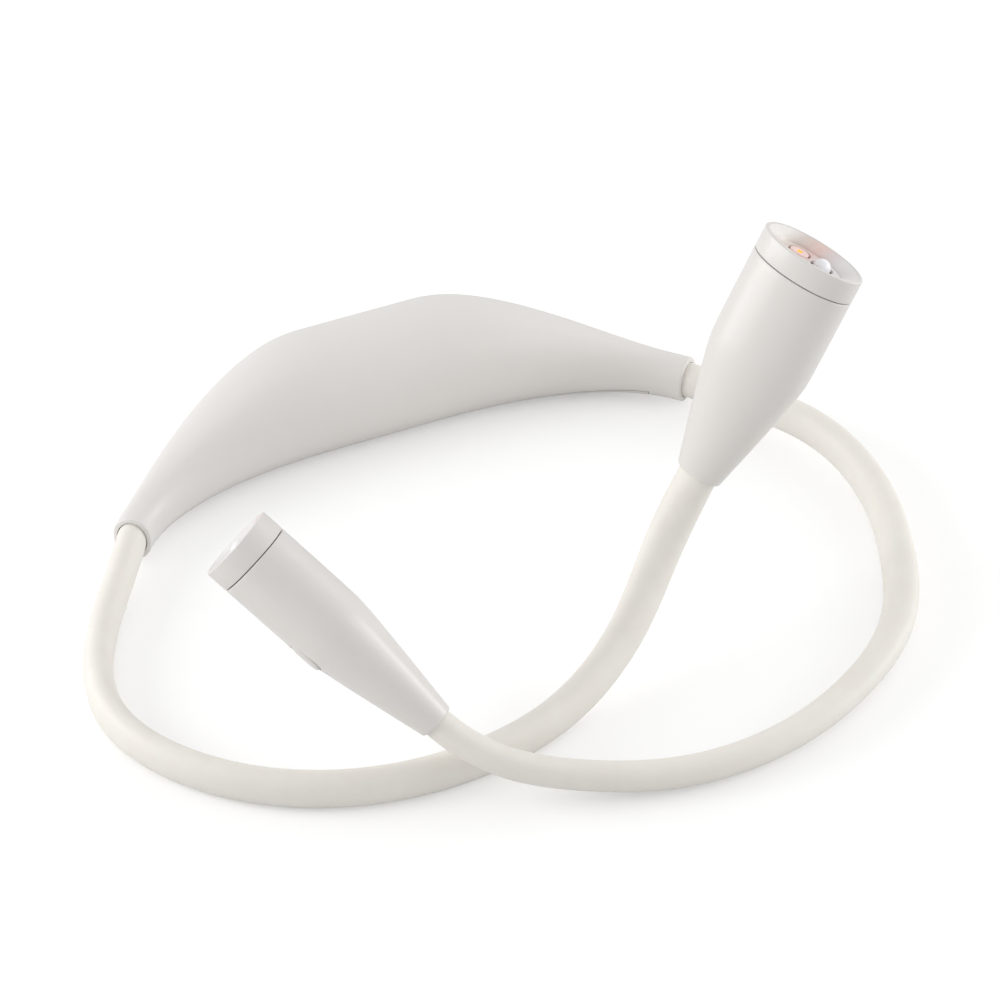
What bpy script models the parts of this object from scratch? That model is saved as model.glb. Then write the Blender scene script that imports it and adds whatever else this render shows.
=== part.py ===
"""Rechargeable neck light: a curved battery housing that rests on the nape, and two
flexible arms that each carry a small lamp head. It lies on a table with its arms crossed."""

from math import cos, pi, radians, sin, sqrt

import bmesh
import bpy
from mathutils import Matrix, Vector

# Overall fits
FIT_GAP = 0.0003
SEAM_GAP = 0.0003
CUT_OVERRUN = 0.003
CORE_SLACK = 0.0001
WELD_DISTANCE = 0.000002
UP = Vector((0, 0, 1))

# Housing: the spine is the line that its inner face follows, half on each side of the middle
SPINE_LENGTH = 0.183
SPINE_END_TURN = 53
SPINE_TURN_POWER = 3
HOUSING_HEIGHT = 0.0346
HOUSING_DEPTH = 0.0338
SLEEVE_HEIGHT = 0.0136
SLEEVE_DEPTH = 0.0108
SLEEVE_LIFT = 0.0018
TAPER_START_SHARE = 0.20
TAPER_END_SHARE = 0.95
HOUSING_SQUARENESS = 2.3
HOUSING_WALL = 0.0018
BASE_FLAT_CUT = 0.0007
COVER_END_SHARE = 0.88
COVER_DEPTH = 0.0031
CAVITY_END_SHARE = 0.855
SOCKET_DEPTH = 0.009
CORE_WAY_START_SHARE = 0.825
SOCKET_STATIONS = 5
CORE_WAY_STATIONS = 4
STATION_CROWDING = 1.1
HOUSING_STATIONS = 29
HOUSING_RING_POINTS = 24
CAVITY_STATIONS = 17
CAVITY_RING_POINTS = 18

# Housing contents
CELL_DIAMETER = 0.0184
CELL_LENGTH = 0.0652
CELL_TERMINAL_DIAMETER = 0.006
CELL_TERMINAL_HEIGHT = 0.0014
CELL_CUT_POINTS = 32
CRADLE_THICKNESS = 0.003
CRADLE_WIDTH = 0.010
CRADLE_SPACING = 0.040
CRADLE_RISE = 0.0022
CRADLE_SEAT = 0.0012
CELL_INSET = 0.0026
BOARD_BEHIND_CELL = 0.0010
BOARD_THICKNESS = 0.0012
CHARGE_BOARD_LENGTH = 0.034
CHARGE_BOARD_EDGE_GAP = 0.0024
PORT_WIDTH = 0.0090
PORT_HEIGHT = 0.0034
PORT_WALL = 0.0004
PORT_SUNK = 0.00045
PORT_TONGUE_THICKNESS = 0.0007
PORT_PLACE = 0.006
LIGHT_PIPE_DIAMETER = 0.0024
LIGHT_PIPE_SPACING = 0.010
SCREW_SHARES = (-0.66, -0.46, 0.46, 0.66)
SCREW_DIAMETER = 0.0020
SCREW_HEAD_DIAMETER = 0.0038
SCREW_HEAD_HEIGHT = 0.0014
SCREW_CROWN_SHARE = 0.8
SCREW_TIP_SHARE = 0.33
SCREW_LENGTH = 0.0070
SCREW_SLOT_WIDTH = 0.0007
SCREW_SLOT_DEPTH = 0.0006
BOSS_DIAMETER = 0.0052
BOSS_GAP = 0.0008

# Hoses: an oval silicone sleeve over a round bending core
ARM_LENGTH = 0.285
HOSE_BROAD = 0.0110
HOSE_NARROW = 0.0082
CORE_DIAMETER = 0.0040
HOSE_RING_POINTS = 12
CORE_RING_POINTS = 8
HOSE_STEP = 0.0095
FLEX_LENGTH = 0.0285
ANCHOR_DIAMETER = 0.0066
ANCHOR_LENGTH = 0.0040
MID_JOINT_SHARE = 0.70

# The course of each arm: share of its length, heading from +X, climb and twist in degrees
LEFT_COURSE_SHARES = (
    (0.0, 235, -8.6, 90),
    (0.1, 237, -2.2, 90),
    (0.2, 255, 0.1, 90),
    (0.3, 292, 0, 90),
    (0.4, 318, 0, 90),
    (0.5, 340, 0, 90),
    (0.6, 360, 0.1, 92),
    (0.7, 378, 1.3, 98),
    (0.8, 389.3, 19.9, 114),
    (0.9, 394.6, 43, 137),
    (1.0, 363, 61.8, 159),
)
RIGHT_COURSE_SHARES = (
    (0.0, 307, 1, 90),
    (0.1, 302, -1.2, 94),
    (0.2, 275, -3.5, 108),
    (0.3, 254, -1.5, 124),
    (0.4, 242, -0.8, 136),
    (0.5, 218, -0.4, 138),
    (0.6, 202, -0.2, 138),
    (0.7, 182.9, 0, 138),
    (0.8, 163.8, 4.4, 138),
    (0.9, 156.1, 15.8, 132),
    (1.0, 129.9, 35.1, 124),
)

# Heads: a tapering oval shell, a bezel, a reflector cup with two lamps, and a button
HEAD_LENGTH = 0.0695
HEAD_BROAD = 0.0307
HEAD_NARROW = 0.0212
HEAD_TAPER_LENGTH = 0.0364
HEAD_TAPER_POWER = 1.08
HEAD_SHOULDER_SHARE = 0.08
HEAD_SHOULDER_END_SHARE = 1.3
HEAD_SQUARENESS = 2.0
NECK_BROAD = 0.0132
NECK_NARROW = 0.0098
NECK_EDGE = 0.0006
HEAD_WALL = 0.0015
NECK_SOCKET_DEPTH = 0.009
NECK_BULKHEAD = 0.003
BEZEL_LENGTH = 0.0064
BEZEL_SPIGOT = 0.0040
BEZEL_WALL = 0.0012
BEZEL_RIM = 0.0011
BEZEL_EDGE = 0.0004
BEZEL_LEDGE = 0.0020
REFLECTOR_SUNK = 0.0004
REFLECTOR_EDGE = 0.0003
CUP_DEPTH = 0.0022
CUP_WALL = 0.0008
CUP_FLOOR_BROAD = 0.0192
CUP_FLOOR_NARROW = 0.0096
CUP_CURVE_POWER = 1.6
LAMP_SPACING = 0.0077
WELL_DIAMETER = 0.0065
DOME_DIAMETER = 0.0050
DOME_HEIGHT = 0.0030
DOME_RINGS = 5
CHIP_DIAMETER = 0.0054
CHIP_HEIGHT = 0.0009
CHIP_EDGE = 0.0003
LAMP_BOARD_THICKNESS = 0.0012
DRIVER_BOARD_SETBACK = 0.0065
DRIVER_BOARD_THICKNESS = 0.0010
BOARD_EDGE_GAP = 0.0005
DRIVER_BOARD_STATIONS = 5
BUTTON_PLACE = 0.0365
BUTTON_LENGTH = 0.0094
BUTTON_WIDTH = 0.0062
BUTTON_PROUD = 0.0003
BUTTON_FLANGE = 0.0008
BUTTON_GAP = 0.0006
BUTTON_FLANGE_THICKNESS = 0.0008
BUTTON_TRAVEL = 0.0005
BUTTON_STEM_DIAMETER = 0.0024
SWITCH_SIDE = 0.0046
SWITCH_HEIGHT = 0.0034
SWITCH_PLUNGER_DIAMETER = 0.0020
SWITCH_PLUNGER_HEIGHT = 0.0006
CLAMP_LENGTH = 0.0035
HEAD_RING_POINTS = 24
HEAD_TAPER_RINGS = 10
HEAD_INNER_RINGS = 6
CUP_RINGS = 6
ROUND_POINTS = 16
SMALL_ROUND_POINTS = 10
PATH_STEPS = 240
SMOOTH_ANGLE = 35


def clear_scene():
    for item in list(bpy.data.objects):
        bpy.data.objects.remove(item)


def finish(name, color, roughness, metallic=0.0, alpha=1.0):
    material = bpy.data.materials.new(name)
    material.use_nodes = True
    shader = material.node_tree.nodes["Principled BSDF"]
    shader.inputs["Base Color"].default_value = (*color, 1)
    shader.inputs["Roughness"].default_value = roughness
    shader.inputs["Metallic"].default_value = metallic
    shader.inputs["Alpha"].default_value = alpha
    return material


# Small sums that several pieces share


def eased(value):
    value = min(max(value, 0.0), 1.0)
    return value * value * (3 - 2 * value)


def evenly(first, last, count):
    return [first + (last - first) * i / (count - 1) for i in range(count)]


def along(shares, share, column):
    """A smooth value at this share of a course, from the rows round it (Catmull-Rom)."""
    rows = list(shares)
    index = max(i for i, row in enumerate(rows) if row[0] <= share or i == 0)
    index = min(index, len(rows) - 2)
    first, last = rows[index], rows[index + 1]
    step = last[0] - first[0]
    t = (share - first[0]) / step
    before = rows[max(index - 1, 0)]
    after = rows[min(index + 2, len(rows) - 1)]
    slope_in = (last[column] - before[column]) / (last[0] - before[0]) * step
    slope_out = (after[column] - first[column]) / (after[0] - first[0]) * step
    a, b = first[column], last[column]
    return (
        a * (2 * t**3 - 3 * t**2 + 1)
        + slope_in * (t**3 - 2 * t**2 + t)
        + b * (3 * t**2 - 2 * t**3)
        + slope_out * (t**3 - t**2)
    )


def direction(heading, climb):
    flat = cos(radians(climb))
    return Vector(
        (cos(radians(heading)) * flat, sin(radians(heading)) * flat, sin(radians(climb)))
    )


class Frame:
    """A place on a path: the way ahead, and the broad and narrow ways across it."""

    def __init__(self, point, ahead, twist):
        self.point, self.ahead = point, ahead
        side = ahead.cross(UP).normalized()
        rise = side.cross(ahead)
        self.side = side
        self.broad = side * cos(radians(twist)) + rise * sin(radians(twist))
        self.narrow = ahead.cross(self.broad)

    def ring(self, half_broad, half_narrow, count, squareness=2.0, shift=0.0):
        points = []
        for i in range(count):
            across, over = superellipse(2 * pi * i / count, squareness)
            centre = self.point + self.narrow * shift
            points.append(centre + self.broad * half_broad * across + self.narrow * half_narrow * over)
        return points

    def matrix(self):
        turn = Matrix((self.broad, self.narrow, self.ahead)).transposed().to_4x4()
        return Matrix.Translation(self.point) @ turn


def superellipse(angle, squareness):
    power = 2 / squareness
    c, s = cos(angle), sin(angle)
    return (abs(c) ** power) * (1 if c >= 0 else -1), (abs(s) ** power) * (1 if s >= 0 else -1)


def path(start, length, heading_of, climb_of, twist_of):
    """Frames at equal steps along a path whose heading, climb and twist are functions."""
    frames, point, steps = [], start.copy(), PATH_STEPS
    for i in range(steps + 1):
        share = i / steps
        ahead = direction(heading_of(share), climb_of(share))
        frames.append(Frame(point.copy(), ahead, twist_of(share)))
        middle = (i + 0.5) / steps
        point = point + direction(heading_of(middle), climb_of(middle)) * (length / steps)
    return frames


# Meshes


def mesh_object(name, points, faces, material):
    mesh = bpy.data.meshes.new(name)
    mesh.from_pydata([tuple(p) for p in points], [], faces)
    work = bmesh.new()
    work.from_mesh(mesh)
    bmesh.ops.recalc_face_normals(work, faces=work.faces)
    work.to_mesh(mesh)
    work.free()
    mesh.shade_smooth()
    mesh.set_sharp_from_angle(angle=radians(SMOOTH_ANGLE))
    piece = bpy.data.objects.new(name, mesh)
    piece.data.materials.append(material)
    bpy.context.collection.objects.link(piece)
    return piece


def loft(name, rings, material, closed=False):
    """A skin through rings of points: capped at both ends, or closed on itself."""
    count = len(rings[0])
    points = [p for ring in rings for p in ring]
    faces = []
    spans = len(rings) if closed else len(rings) - 1
    for r in range(spans):
        low, high = r * count, ((r + 1) % len(rings)) * count
        for i in range(count):
            j = (i + 1) % count
            faces.append((low + i, low + j, high + j, high + i))
    if not closed:
        faces.append(tuple(reversed(range(count))))
        faces.append(tuple(range((len(rings) - 1) * count, len(rings) * count)))
    return mesh_object(name, points, faces, material)


def oval_profile(name, profile, count, squareness, material, closed=False):
    """A loft along Z through ovals given as (height, half width along X, half along Y)."""
    rings = []
    for height, half_x, half_y in profile:
        ring = []
        for i in range(count):
            x, y = superellipse(2 * pi * i / count, squareness)
            ring.append(Vector((x * half_x, y * half_y, height)))
        rings.append(ring)
    return loft(name, rings, material, closed)


def round_profile(name, profile, count, material, closed=False):
    return oval_profile(name, [(h, r, r) for h, r in profile], count, 2, material, closed)


def block(name, size, centre, material):
    """A plain block, its size and centre given along X, Y and Z."""
    half = Vector(size) / 2
    corners = [
        Vector(centre) + Vector((half.x * x, half.y * y, half.z * z))
        for z in (-1, 1)
        for x, y in ((-1, -1), (1, -1), (1, 1), (-1, 1))
    ]
    return loft(name, [corners[:4], corners[4:]], material)


def pill(name, length, width, low, high, material):
    """A block with round ends, long along Z and standing on the XZ plane from low to high."""
    reach, radius, turns = (length - width) / 2, width / 2, SMALL_ROUND_POINTS // 2
    rings = []
    for level in (low, high):
        ring = []
        for side in (1, -1):
            for i in range(turns + 1):
                angle = pi * i / turns
                x = radius * cos(angle) * side
                z = (reach + radius * sin(angle)) * side
                ring.append(Vector((x, level, z)))
        rings.append(ring)
    return loft(name, rings, material)


def moved(piece, matrix):
    piece.data.transform(matrix)
    piece.data.update()
    return piece


def boolean(piece, other, operation):
    step = piece.modifiers.new(operation.title(), "BOOLEAN")
    step.operation = operation
    step.solver = "EXACT"
    step.object = other
    other.hide_render = True
    other.display_type = "WIRE"


def baked(piece):
    """The piece with its modifiers worked into its mesh, and their cutters gone."""
    tools = [step.object for step in piece.modifiers if step.type == "BOOLEAN"]
    graph = bpy.context.evaluated_depsgraph_get()
    mesh = bpy.data.meshes.new_from_object(piece.evaluated_get(graph))
    piece.modifiers.clear()
    piece.data = mesh
    work = bmesh.new()
    work.from_mesh(mesh)
    bmesh.ops.remove_doubles(work, verts=work.verts, dist=WELD_DISTANCE)
    bmesh.ops.dissolve_degenerate(work, edges=work.edges, dist=WELD_DISTANCE)
    work.to_mesh(mesh)
    work.free()
    mesh.shade_smooth()
    mesh.set_sharp_from_angle(angle=radians(SMOOTH_ANGLE))
    for tool in tools:
        bpy.data.objects.remove(tool)
    return piece


def cut(piece, *tools):
    for tool in tools:
        boolean(piece, tool, "DIFFERENCE")
    return baked(piece)


def joined(piece, *others):
    for other in others:
        boolean(piece, other, "UNION")
    return baked(piece)


# Housing form


def spine_frames():
    """Frames from the left end of the spine to its right end, past the inside of the origin."""
    half = SPINE_LENGTH / 2

    def turn(share):
        return -SPINE_END_TURN * share**SPINE_TURN_POWER

    middle = Vector((0, -(HOUSING_DEPTH - SLEEVE_DEPTH) / 2, 0))
    right = path(middle, half, turn, lambda share: 0, lambda share: 90)
    left = []
    for frame in reversed(right[1:]):
        mirrored = Vector((-frame.point.x, frame.point.y, frame.point.z))
        ahead = Vector((frame.ahead.x, -frame.ahead.y, 0))
        left.append(Frame(mirrored, ahead, 90))
    return left + right


SPINE = spine_frames()


def spine_at(share):
    """The spine's frame at a share from -1, the left end, to 1, the right end."""
    place = (share + 1) / 2 * (len(SPINE) - 1)
    low = min(int(place), len(SPINE) - 2)
    part = place - low
    a, b = SPINE[low], SPINE[low + 1]
    ahead = (a.ahead * (1 - part) + b.ahead * part).normalized()
    return Frame(a.point * (1 - part) + b.point * part, ahead, 90)


def fullness(share):
    span = TAPER_END_SHARE - TAPER_START_SHARE
    return 1 - eased((abs(share) - TAPER_START_SHARE) / span)


def housing_height(share):
    return SLEEVE_HEIGHT + (HOUSING_HEIGHT - SLEEVE_HEIGHT) * fullness(share)


def housing_depth(share):
    return SLEEVE_DEPTH + (HOUSING_DEPTH - SLEEVE_DEPTH) * fullness(share)


def housing_bottom(share):
    return SLEEVE_LIFT * (1 - fullness(share)) - BASE_FLAT_CUT * fullness(share)


def housing_middle(share):
    return housing_bottom(share) + housing_height(share) / 2


def outward(share):
    """How far the middle of a section lies outside the spine, so the inner face follows it."""
    return (housing_depth(share) - SLEEVE_DEPTH) / 2


def housing_place(share, out=0.0, height=0.0):
    """A point of the housing, measured from the middle of its section."""
    frame = spine_at(share)
    away = frame.ahead.cross(UP) * -1
    return frame.point + away * (outward(share) + out) + UP * (housing_middle(share) + height)


def housing_frame(share):
    frame = spine_at(share)
    frame.point = housing_place(share)
    return frame


def housing_ring(share, inset, count, squareness):
    frame = housing_frame(share)
    half_height = housing_height(share) / 2 - inset
    half_depth = housing_depth(share) / 2 - inset
    return frame.ring(half_height, half_depth, count, squareness)


def stations(first, last, count):
    """Shares that lie closer together towards the ends, where the housing turns most."""
    crowd = STATION_CROWDING
    shares = []
    for i in range(count):
        bent = sin(crowd * (2 * i / (count - 1) - 1)) / sin(crowd)
        shares.append(first + (last - first) * (1 + bent) / 2)
    return shares


def housing_body(name, material):
    rings = [
        housing_ring(share, 0, HOUSING_RING_POINTS, HOUSING_SQUARENESS)
        for share in stations(-1, 1, HOUSING_STATIONS)
    ]
    body = loft(name, rings, material)
    depth = CUT_OVERRUN * 2
    size = (SPINE_LENGTH * 2, SPINE_LENGTH * 2, depth)
    below = block("base_cut", size, (0, 0, -depth / 2), material)
    return cut(body, below)


def cover_blank(name, end, split_shift, material):
    """The space under the parting line: as long as the cover, and wider than the housing."""
    rings = []
    for share in stations(-end, end, HOUSING_STATIONS):
        frame = housing_frame(share)
        frame.point.z = 0
        reach = housing_depth(share) / 2 + CUT_OVERRUN
        away = frame.ahead.cross(UP)
        top = max(housing_bottom(share), 0) + COVER_DEPTH + split_shift
        rings.append(
            [
                frame.point + away * side * reach + UP * level
                for side, level in ((-1, -CUT_OVERRUN), (1, -CUT_OVERRUN), (1, top), (-1, top))
            ]
        )
    return loft(name, rings, material)


def cavity(name, material):
    rings = [
        housing_ring(share, HOUSING_WALL, CAVITY_RING_POINTS, HOUSING_SQUARENESS)
        for share in stations(-CAVITY_END_SHARE, CAVITY_END_SHARE, CAVITY_STATIONS)
    ]
    return loft(name, rings, material)


def hose_way(side, material):
    """A cutter for one end: a round way for the core, then the oval socket for the hose."""
    deep = 1 - (SOCKET_DEPTH + FIT_GAP) / (SPINE_LENGTH / 2)
    ways = [housing_frame(side * share) for share in evenly(CORE_WAY_START_SHARE, deep, CORE_WAY_STATIONS)]
    ends = [housing_frame(side * share) for share in evenly(deep, 1, SOCKET_STATIONS)]
    last = ends[-1]
    past = Frame(last.point + last.ahead * side * CUT_OVERRUN, last.ahead, 90)
    radius = CORE_DIAMETER / 2 + FIT_GAP
    half = (HOSE_BROAD / 2 + FIT_GAP, HOSE_NARROW / 2 + FIT_GAP)
    rings = [frame.ring(radius, radius, ROUND_POINTS) for frame in ways]
    rings += [frame.ring(*half, ROUND_POINTS) for frame in [*ends, past]]
    return loft("hose_way", rings, material)


def screw_bosses(material):
    """Posts that stand down from the roof of the shell to the under cover."""
    posts = []
    for share in SCREW_SHARES:
        place = housing_place(share)
        low = cover_floor(share) + BOSS_GAP
        high = housing_middle(share) + housing_height(share) / 2 - HOUSING_WALL / 2
        post = round_profile(
            "boss", [(low, BOSS_DIAMETER / 2), (high, BOSS_DIAMETER / 2)], ROUND_POINTS, material
        )
        posts.append(moved(post, Matrix.Translation((place.x, place.y, 0))))
    return posts


def cover_floor(share):
    """The height of the under cover's inner face below a section's middle."""
    return max(housing_bottom(share) + HOUSING_WALL, HOUSING_WALL - BASE_FLAT_CUT)


def seat_floor(share):
    """The height at which a screw's head bears inside the under cover."""
    return max(housing_bottom(share), 0) + SCREW_HEAD_HEIGHT + FIT_GAP


def screw_ways(radius_low, radius_high, material):
    """Cutters for the screws: a wide seat for the head, and a narrower way above it."""
    ways = []
    for share in SCREW_SHARES:
        place = housing_place(share)
        seat = seat_floor(share)
        top = seat + SCREW_LENGTH + FIT_GAP
        profile = [
            (-CUT_OVERRUN, radius_low),
            (seat, radius_low),
            (seat, radius_high),
            (top, radius_high),
        ]
        way = round_profile("screw_way", profile, SMALL_ROUND_POINTS, material)
        ways.append(moved(way, Matrix.Translation((place.x, place.y, 0))))
    return ways


# Housing contents: the cell lies along X near the inner face, the charge board stands behind it


def cell_middle():
    inner_face = -HOUSING_DEPTH / 2 + HOUSING_WALL
    height = cover_floor(0) + FIT_GAP + CELL_DIAMETER / 2 + CRADLE_SEAT
    return Vector((0, inner_face + CELL_INSET + CELL_DIAMETER / 2, height))


def board_front():
    return cell_middle().y + CELL_DIAMETER / 2 + BOARD_BEHIND_CELL


def cradles(material):
    """Two saddles on the under cover that carry the cell."""
    middle = cell_middle()
    pieces = []
    for side in (-1, 1):
        low = HOUSING_WALL / 2
        high = middle.z - CELL_DIAMETER / 2 + CRADLE_RISE
        size = (CRADLE_THICKNESS, CRADLE_WIDTH, high - low)
        centre = (side * CRADLE_SPACING / 2, middle.y, (low + high) / 2)
        pieces.append(block("cradle", size, centre, material))
    return pieces


def cell_cutter(material):
    half = CELL_LENGTH / 2 + FIT_GAP
    radius = CELL_DIAMETER / 2 + FIT_GAP
    profile = [(-half, radius), (half, radius)]
    cutter = round_profile("cell_cut", profile, CELL_CUT_POINTS, material)
    turn = Matrix.Rotation(pi / 2, 4, "Y")
    return moved(cutter, Matrix.Translation(cell_middle()) @ turn)


def make_cell(material):
    half, radius = CELL_LENGTH / 2, CELL_DIAMETER / 2
    rim = CELL_TERMINAL_DIAMETER / 2
    profile = [
        (-half, radius),
        (half - CELL_TERMINAL_HEIGHT, radius),
        (half - CELL_TERMINAL_HEIGHT, rim),
        (half, rim),
    ]
    cell = round_profile("battery_cell", profile, ROUND_POINTS, material)
    turn = Matrix.Rotation(pi / 2, 4, "Y")
    return moved(cell, Matrix.Translation(cell_middle()) @ turn)


def port_middle():
    """The port's middle: it stands on the board and its mouth lies in the outer wall."""
    front = board_front() + BOARD_THICKNESS + FIT_GAP
    return Vector((PORT_PLACE, front + port_length() / 2, housing_middle(0)))


def port_length():
    back = HOUSING_DEPTH / 2 - PORT_SUNK
    return back - (board_front() + BOARD_THICKNESS + FIT_GAP)


def cavity_half_height(depth_place):
    """Half the cavity's height in the middle section, this far behind its middle."""
    half_depth = HOUSING_DEPTH / 2 - HOUSING_WALL
    half_height = HOUSING_HEIGHT / 2 - HOUSING_WALL
    rest = 1 - (depth_place / half_depth) ** HOUSING_SQUARENESS
    return half_height * rest ** (1 / HOUSING_SQUARENESS)


def make_charge_board(material):
    back = board_front() + BOARD_THICKNESS
    height = (cavity_half_height(back) - CHARGE_BOARD_EDGE_GAP) * 2
    size = (CHARGE_BOARD_LENGTH, BOARD_THICKNESS, height)
    centre = (0, board_front() + BOARD_THICKNESS / 2, housing_middle(0))
    return block("charge_board", size, centre, material)


def port_shell(name, grow, length, material):
    """A flat oval tube or plug along Y, the shape of the charging port."""
    width, height = PORT_WIDTH + 2 * grow, PORT_HEIGHT + 2 * grow
    low, high = -length / 2, length / 2
    shape = pill(name, width, height, low, high, material)
    middle = port_middle()
    turn = Matrix.Rotation(pi / 2, 4, "Y")
    return moved(shape, Matrix.Translation(middle) @ turn)


def make_port(material):
    body = port_shell("usb_socket", 0, port_length(), material)
    inside = port_shell("port_cut", -PORT_WALL, port_length(), material)
    moved(inside, Matrix.Translation((0, PORT_WALL * 2, 0)))
    body = cut(body, inside)
    middle = port_middle()
    reach = port_length() - PORT_WALL * 4
    size = (PORT_WIDTH - PORT_HEIGHT, reach, PORT_TONGUE_THICKNESS)
    tongue = block("tongue", size, (middle.x, middle.y - PORT_WALL, middle.z), material)
    return joined(body, tongue)


def port_opening(material):
    return port_shell("port_opening", FIT_GAP, port_length() + CUT_OVERRUN, material)


def light_pipe_middle():
    middle = port_middle()
    return Vector((middle.x - LIGHT_PIPE_SPACING, middle.y, middle.z))


def pipe_shape(name, radius, length, material):
    shape = round_profile(
        name, [(-length / 2, radius), (length / 2, radius)], SMALL_ROUND_POINTS, material
    )
    turn = Matrix.Rotation(-pi / 2, 4, "X")
    return moved(shape, Matrix.Translation(light_pipe_middle()) @ turn)


def make_screws(material):
    """Pan head screws with a single slot."""
    pieces = []
    for number, share in enumerate(SCREW_SHARES, start=1):
        place = housing_place(share)
        seat = seat_floor(share)
        low = seat - SCREW_HEAD_HEIGHT
        head, shank = SCREW_HEAD_DIAMETER / 2, SCREW_DIAMETER / 2
        profile = [
            (low, head * SCREW_CROWN_SHARE),
            (low + SCREW_SLOT_DEPTH, head),
            (seat - FIT_GAP, head),
            (seat - FIT_GAP, shank),
            (seat + SCREW_LENGTH - shank, shank),
            (seat + SCREW_LENGTH, shank * SCREW_TIP_SHARE),
        ]
        screw = round_profile(f"cover_screw_{number}", profile, SMALL_ROUND_POINTS, material)
        slot_size = (SCREW_HEAD_DIAMETER * 2, SCREW_SLOT_WIDTH, SCREW_SLOT_DEPTH * 2)
        slot = block("slot", slot_size, (0, 0, low), material)
        screw = cut(screw, slot)
        pieces.append(moved(screw, Matrix.Translation((place.x, place.y, 0))))
    return pieces


# Arms


class Arm:
    """One hose: its course, the places of its three joints and the ends of its stretches."""

    def __init__(self, side_name, side, course_shares):
        self.name, self.side = side_name, side
        exit_frame = housing_frame(side)
        self.frames = path(
            exit_frame.point,
            ARM_LENGTH,
            lambda share: along(course_shares, share, 1),
            lambda share: along(course_shares, share, 2),
            lambda share: along(course_shares, share, 3),
        )
        flex = FLEX_LENGTH
        middle = ARM_LENGTH * MID_JOINT_SHARE
        self.joint_places = (flex / 2, middle, ARM_LENGTH - flex / 2)
        self.cuts = (flex, middle - flex / 2, middle + flex / 2, ARM_LENGTH - flex)

    def at(self, distance):
        """The frame at a distance from the mouth of the sleeve, into either socket too."""
        if distance < 0:
            inner = housing_frame(self.side * (1 + distance / (SPINE_LENGTH / 2)))
            ahead = inner.ahead * self.side
            return Frame(inner.point, ahead, 90)
        if distance > ARM_LENGTH:
            last = self.frames[-1]
            past = Frame(last.point + last.ahead * (distance - ARM_LENGTH), last.ahead, 0)
            past.broad, past.narrow = last.broad, last.narrow
            return past
        place = distance / ARM_LENGTH * (len(self.frames) - 1)
        low = min(int(place), len(self.frames) - 2)
        part = place - low
        a, b = self.frames[low], self.frames[low + 1]
        mixed = Frame(a.point * (1 - part) + b.point * part, a.ahead, 0)
        mixed.ahead = (a.ahead * (1 - part) + b.ahead * part).normalized()
        mixed.broad = (a.broad * (1 - part) + b.broad * part).normalized()
        mixed.narrow = mixed.ahead.cross(mixed.broad).normalized()
        return mixed

    def spread(self, first, last, step):
        count = max(int(round((last - first) / step)), 1)
        return [self.at(first + (last - first) * i / count) for i in range(count + 1)]


def hose_stretch(name, arm, first, last, material):
    """A length of hose: the oval outside and the round bore, joined by flat ends."""
    frames = arm.spread(first, last, HOSE_STEP)
    outer = [f.ring(HOSE_BROAD / 2, HOSE_NARROW / 2, HOSE_RING_POINTS) for f in frames]
    bore = CORE_DIAMETER / 2 + FIT_GAP
    inner = [f.ring(bore, bore, HOSE_RING_POINTS) for f in reversed(frames)]
    return loft(name, outer + inner, material, closed=True)


def core_stretch(name, arm, first, last, material):
    frames = arm.spread(first, last, HOSE_STEP)
    radius = CORE_DIAMETER / 2 - CORE_SLACK
    rings = [f.ring(radius, radius, CORE_RING_POINTS) for f in frames]
    return loft(name, rings, material)


def ring_on_core(name, arm, first, last, material):
    """A crimped ring round the core."""
    frames = arm.spread(first, last, last - first)
    bore = CORE_DIAMETER / 2 + FIT_GAP
    outer = [f.ring(ANCHOR_DIAMETER / 2, ANCHOR_DIAMETER / 2, ROUND_POINTS) for f in frames]
    inner = [f.ring(bore, bore, ROUND_POINTS) for f in reversed(frames)]
    return loft(name, outer + inner, material, closed=True)


# Heads, built along their own Z from the neck, with X across the broad side


def shoulder(share):
    """1 at the neck, falling evenly to 0 at the full width, with a rounded turn there."""
    return rounded_fall(1 - share) / rounded_fall(1)


def rounded_fall(rest):
    return (sqrt(rest**2 + HEAD_SHOULDER_SHARE**2) + rest) / 2


def head_half(height, inset=0.0):
    """Half the broad and narrow sizes of the head's outside at a height above its neck."""
    full = 1 - shoulder(height / HEAD_TAPER_LENGTH) ** HEAD_TAPER_POWER
    broad = NECK_BROAD + (HEAD_BROAD - NECK_BROAD) * full
    narrow = NECK_NARROW + (HEAD_NARROW - NECK_NARROW) * full
    return broad / 2 - inset, narrow / 2 - inset


def seam_height():
    return HEAD_LENGTH - BEZEL_LENGTH


def button_solid(name, grow, low, high, material):
    """The button's outline, standing out from the head along -Y between two depths."""
    shape = pill(name, BUTTON_LENGTH + 2 * grow, BUTTON_WIDTH + 2 * grow, low, high, material)
    return moved(shape, Matrix.Translation((0, 0, BUTTON_PLACE)))


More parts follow.
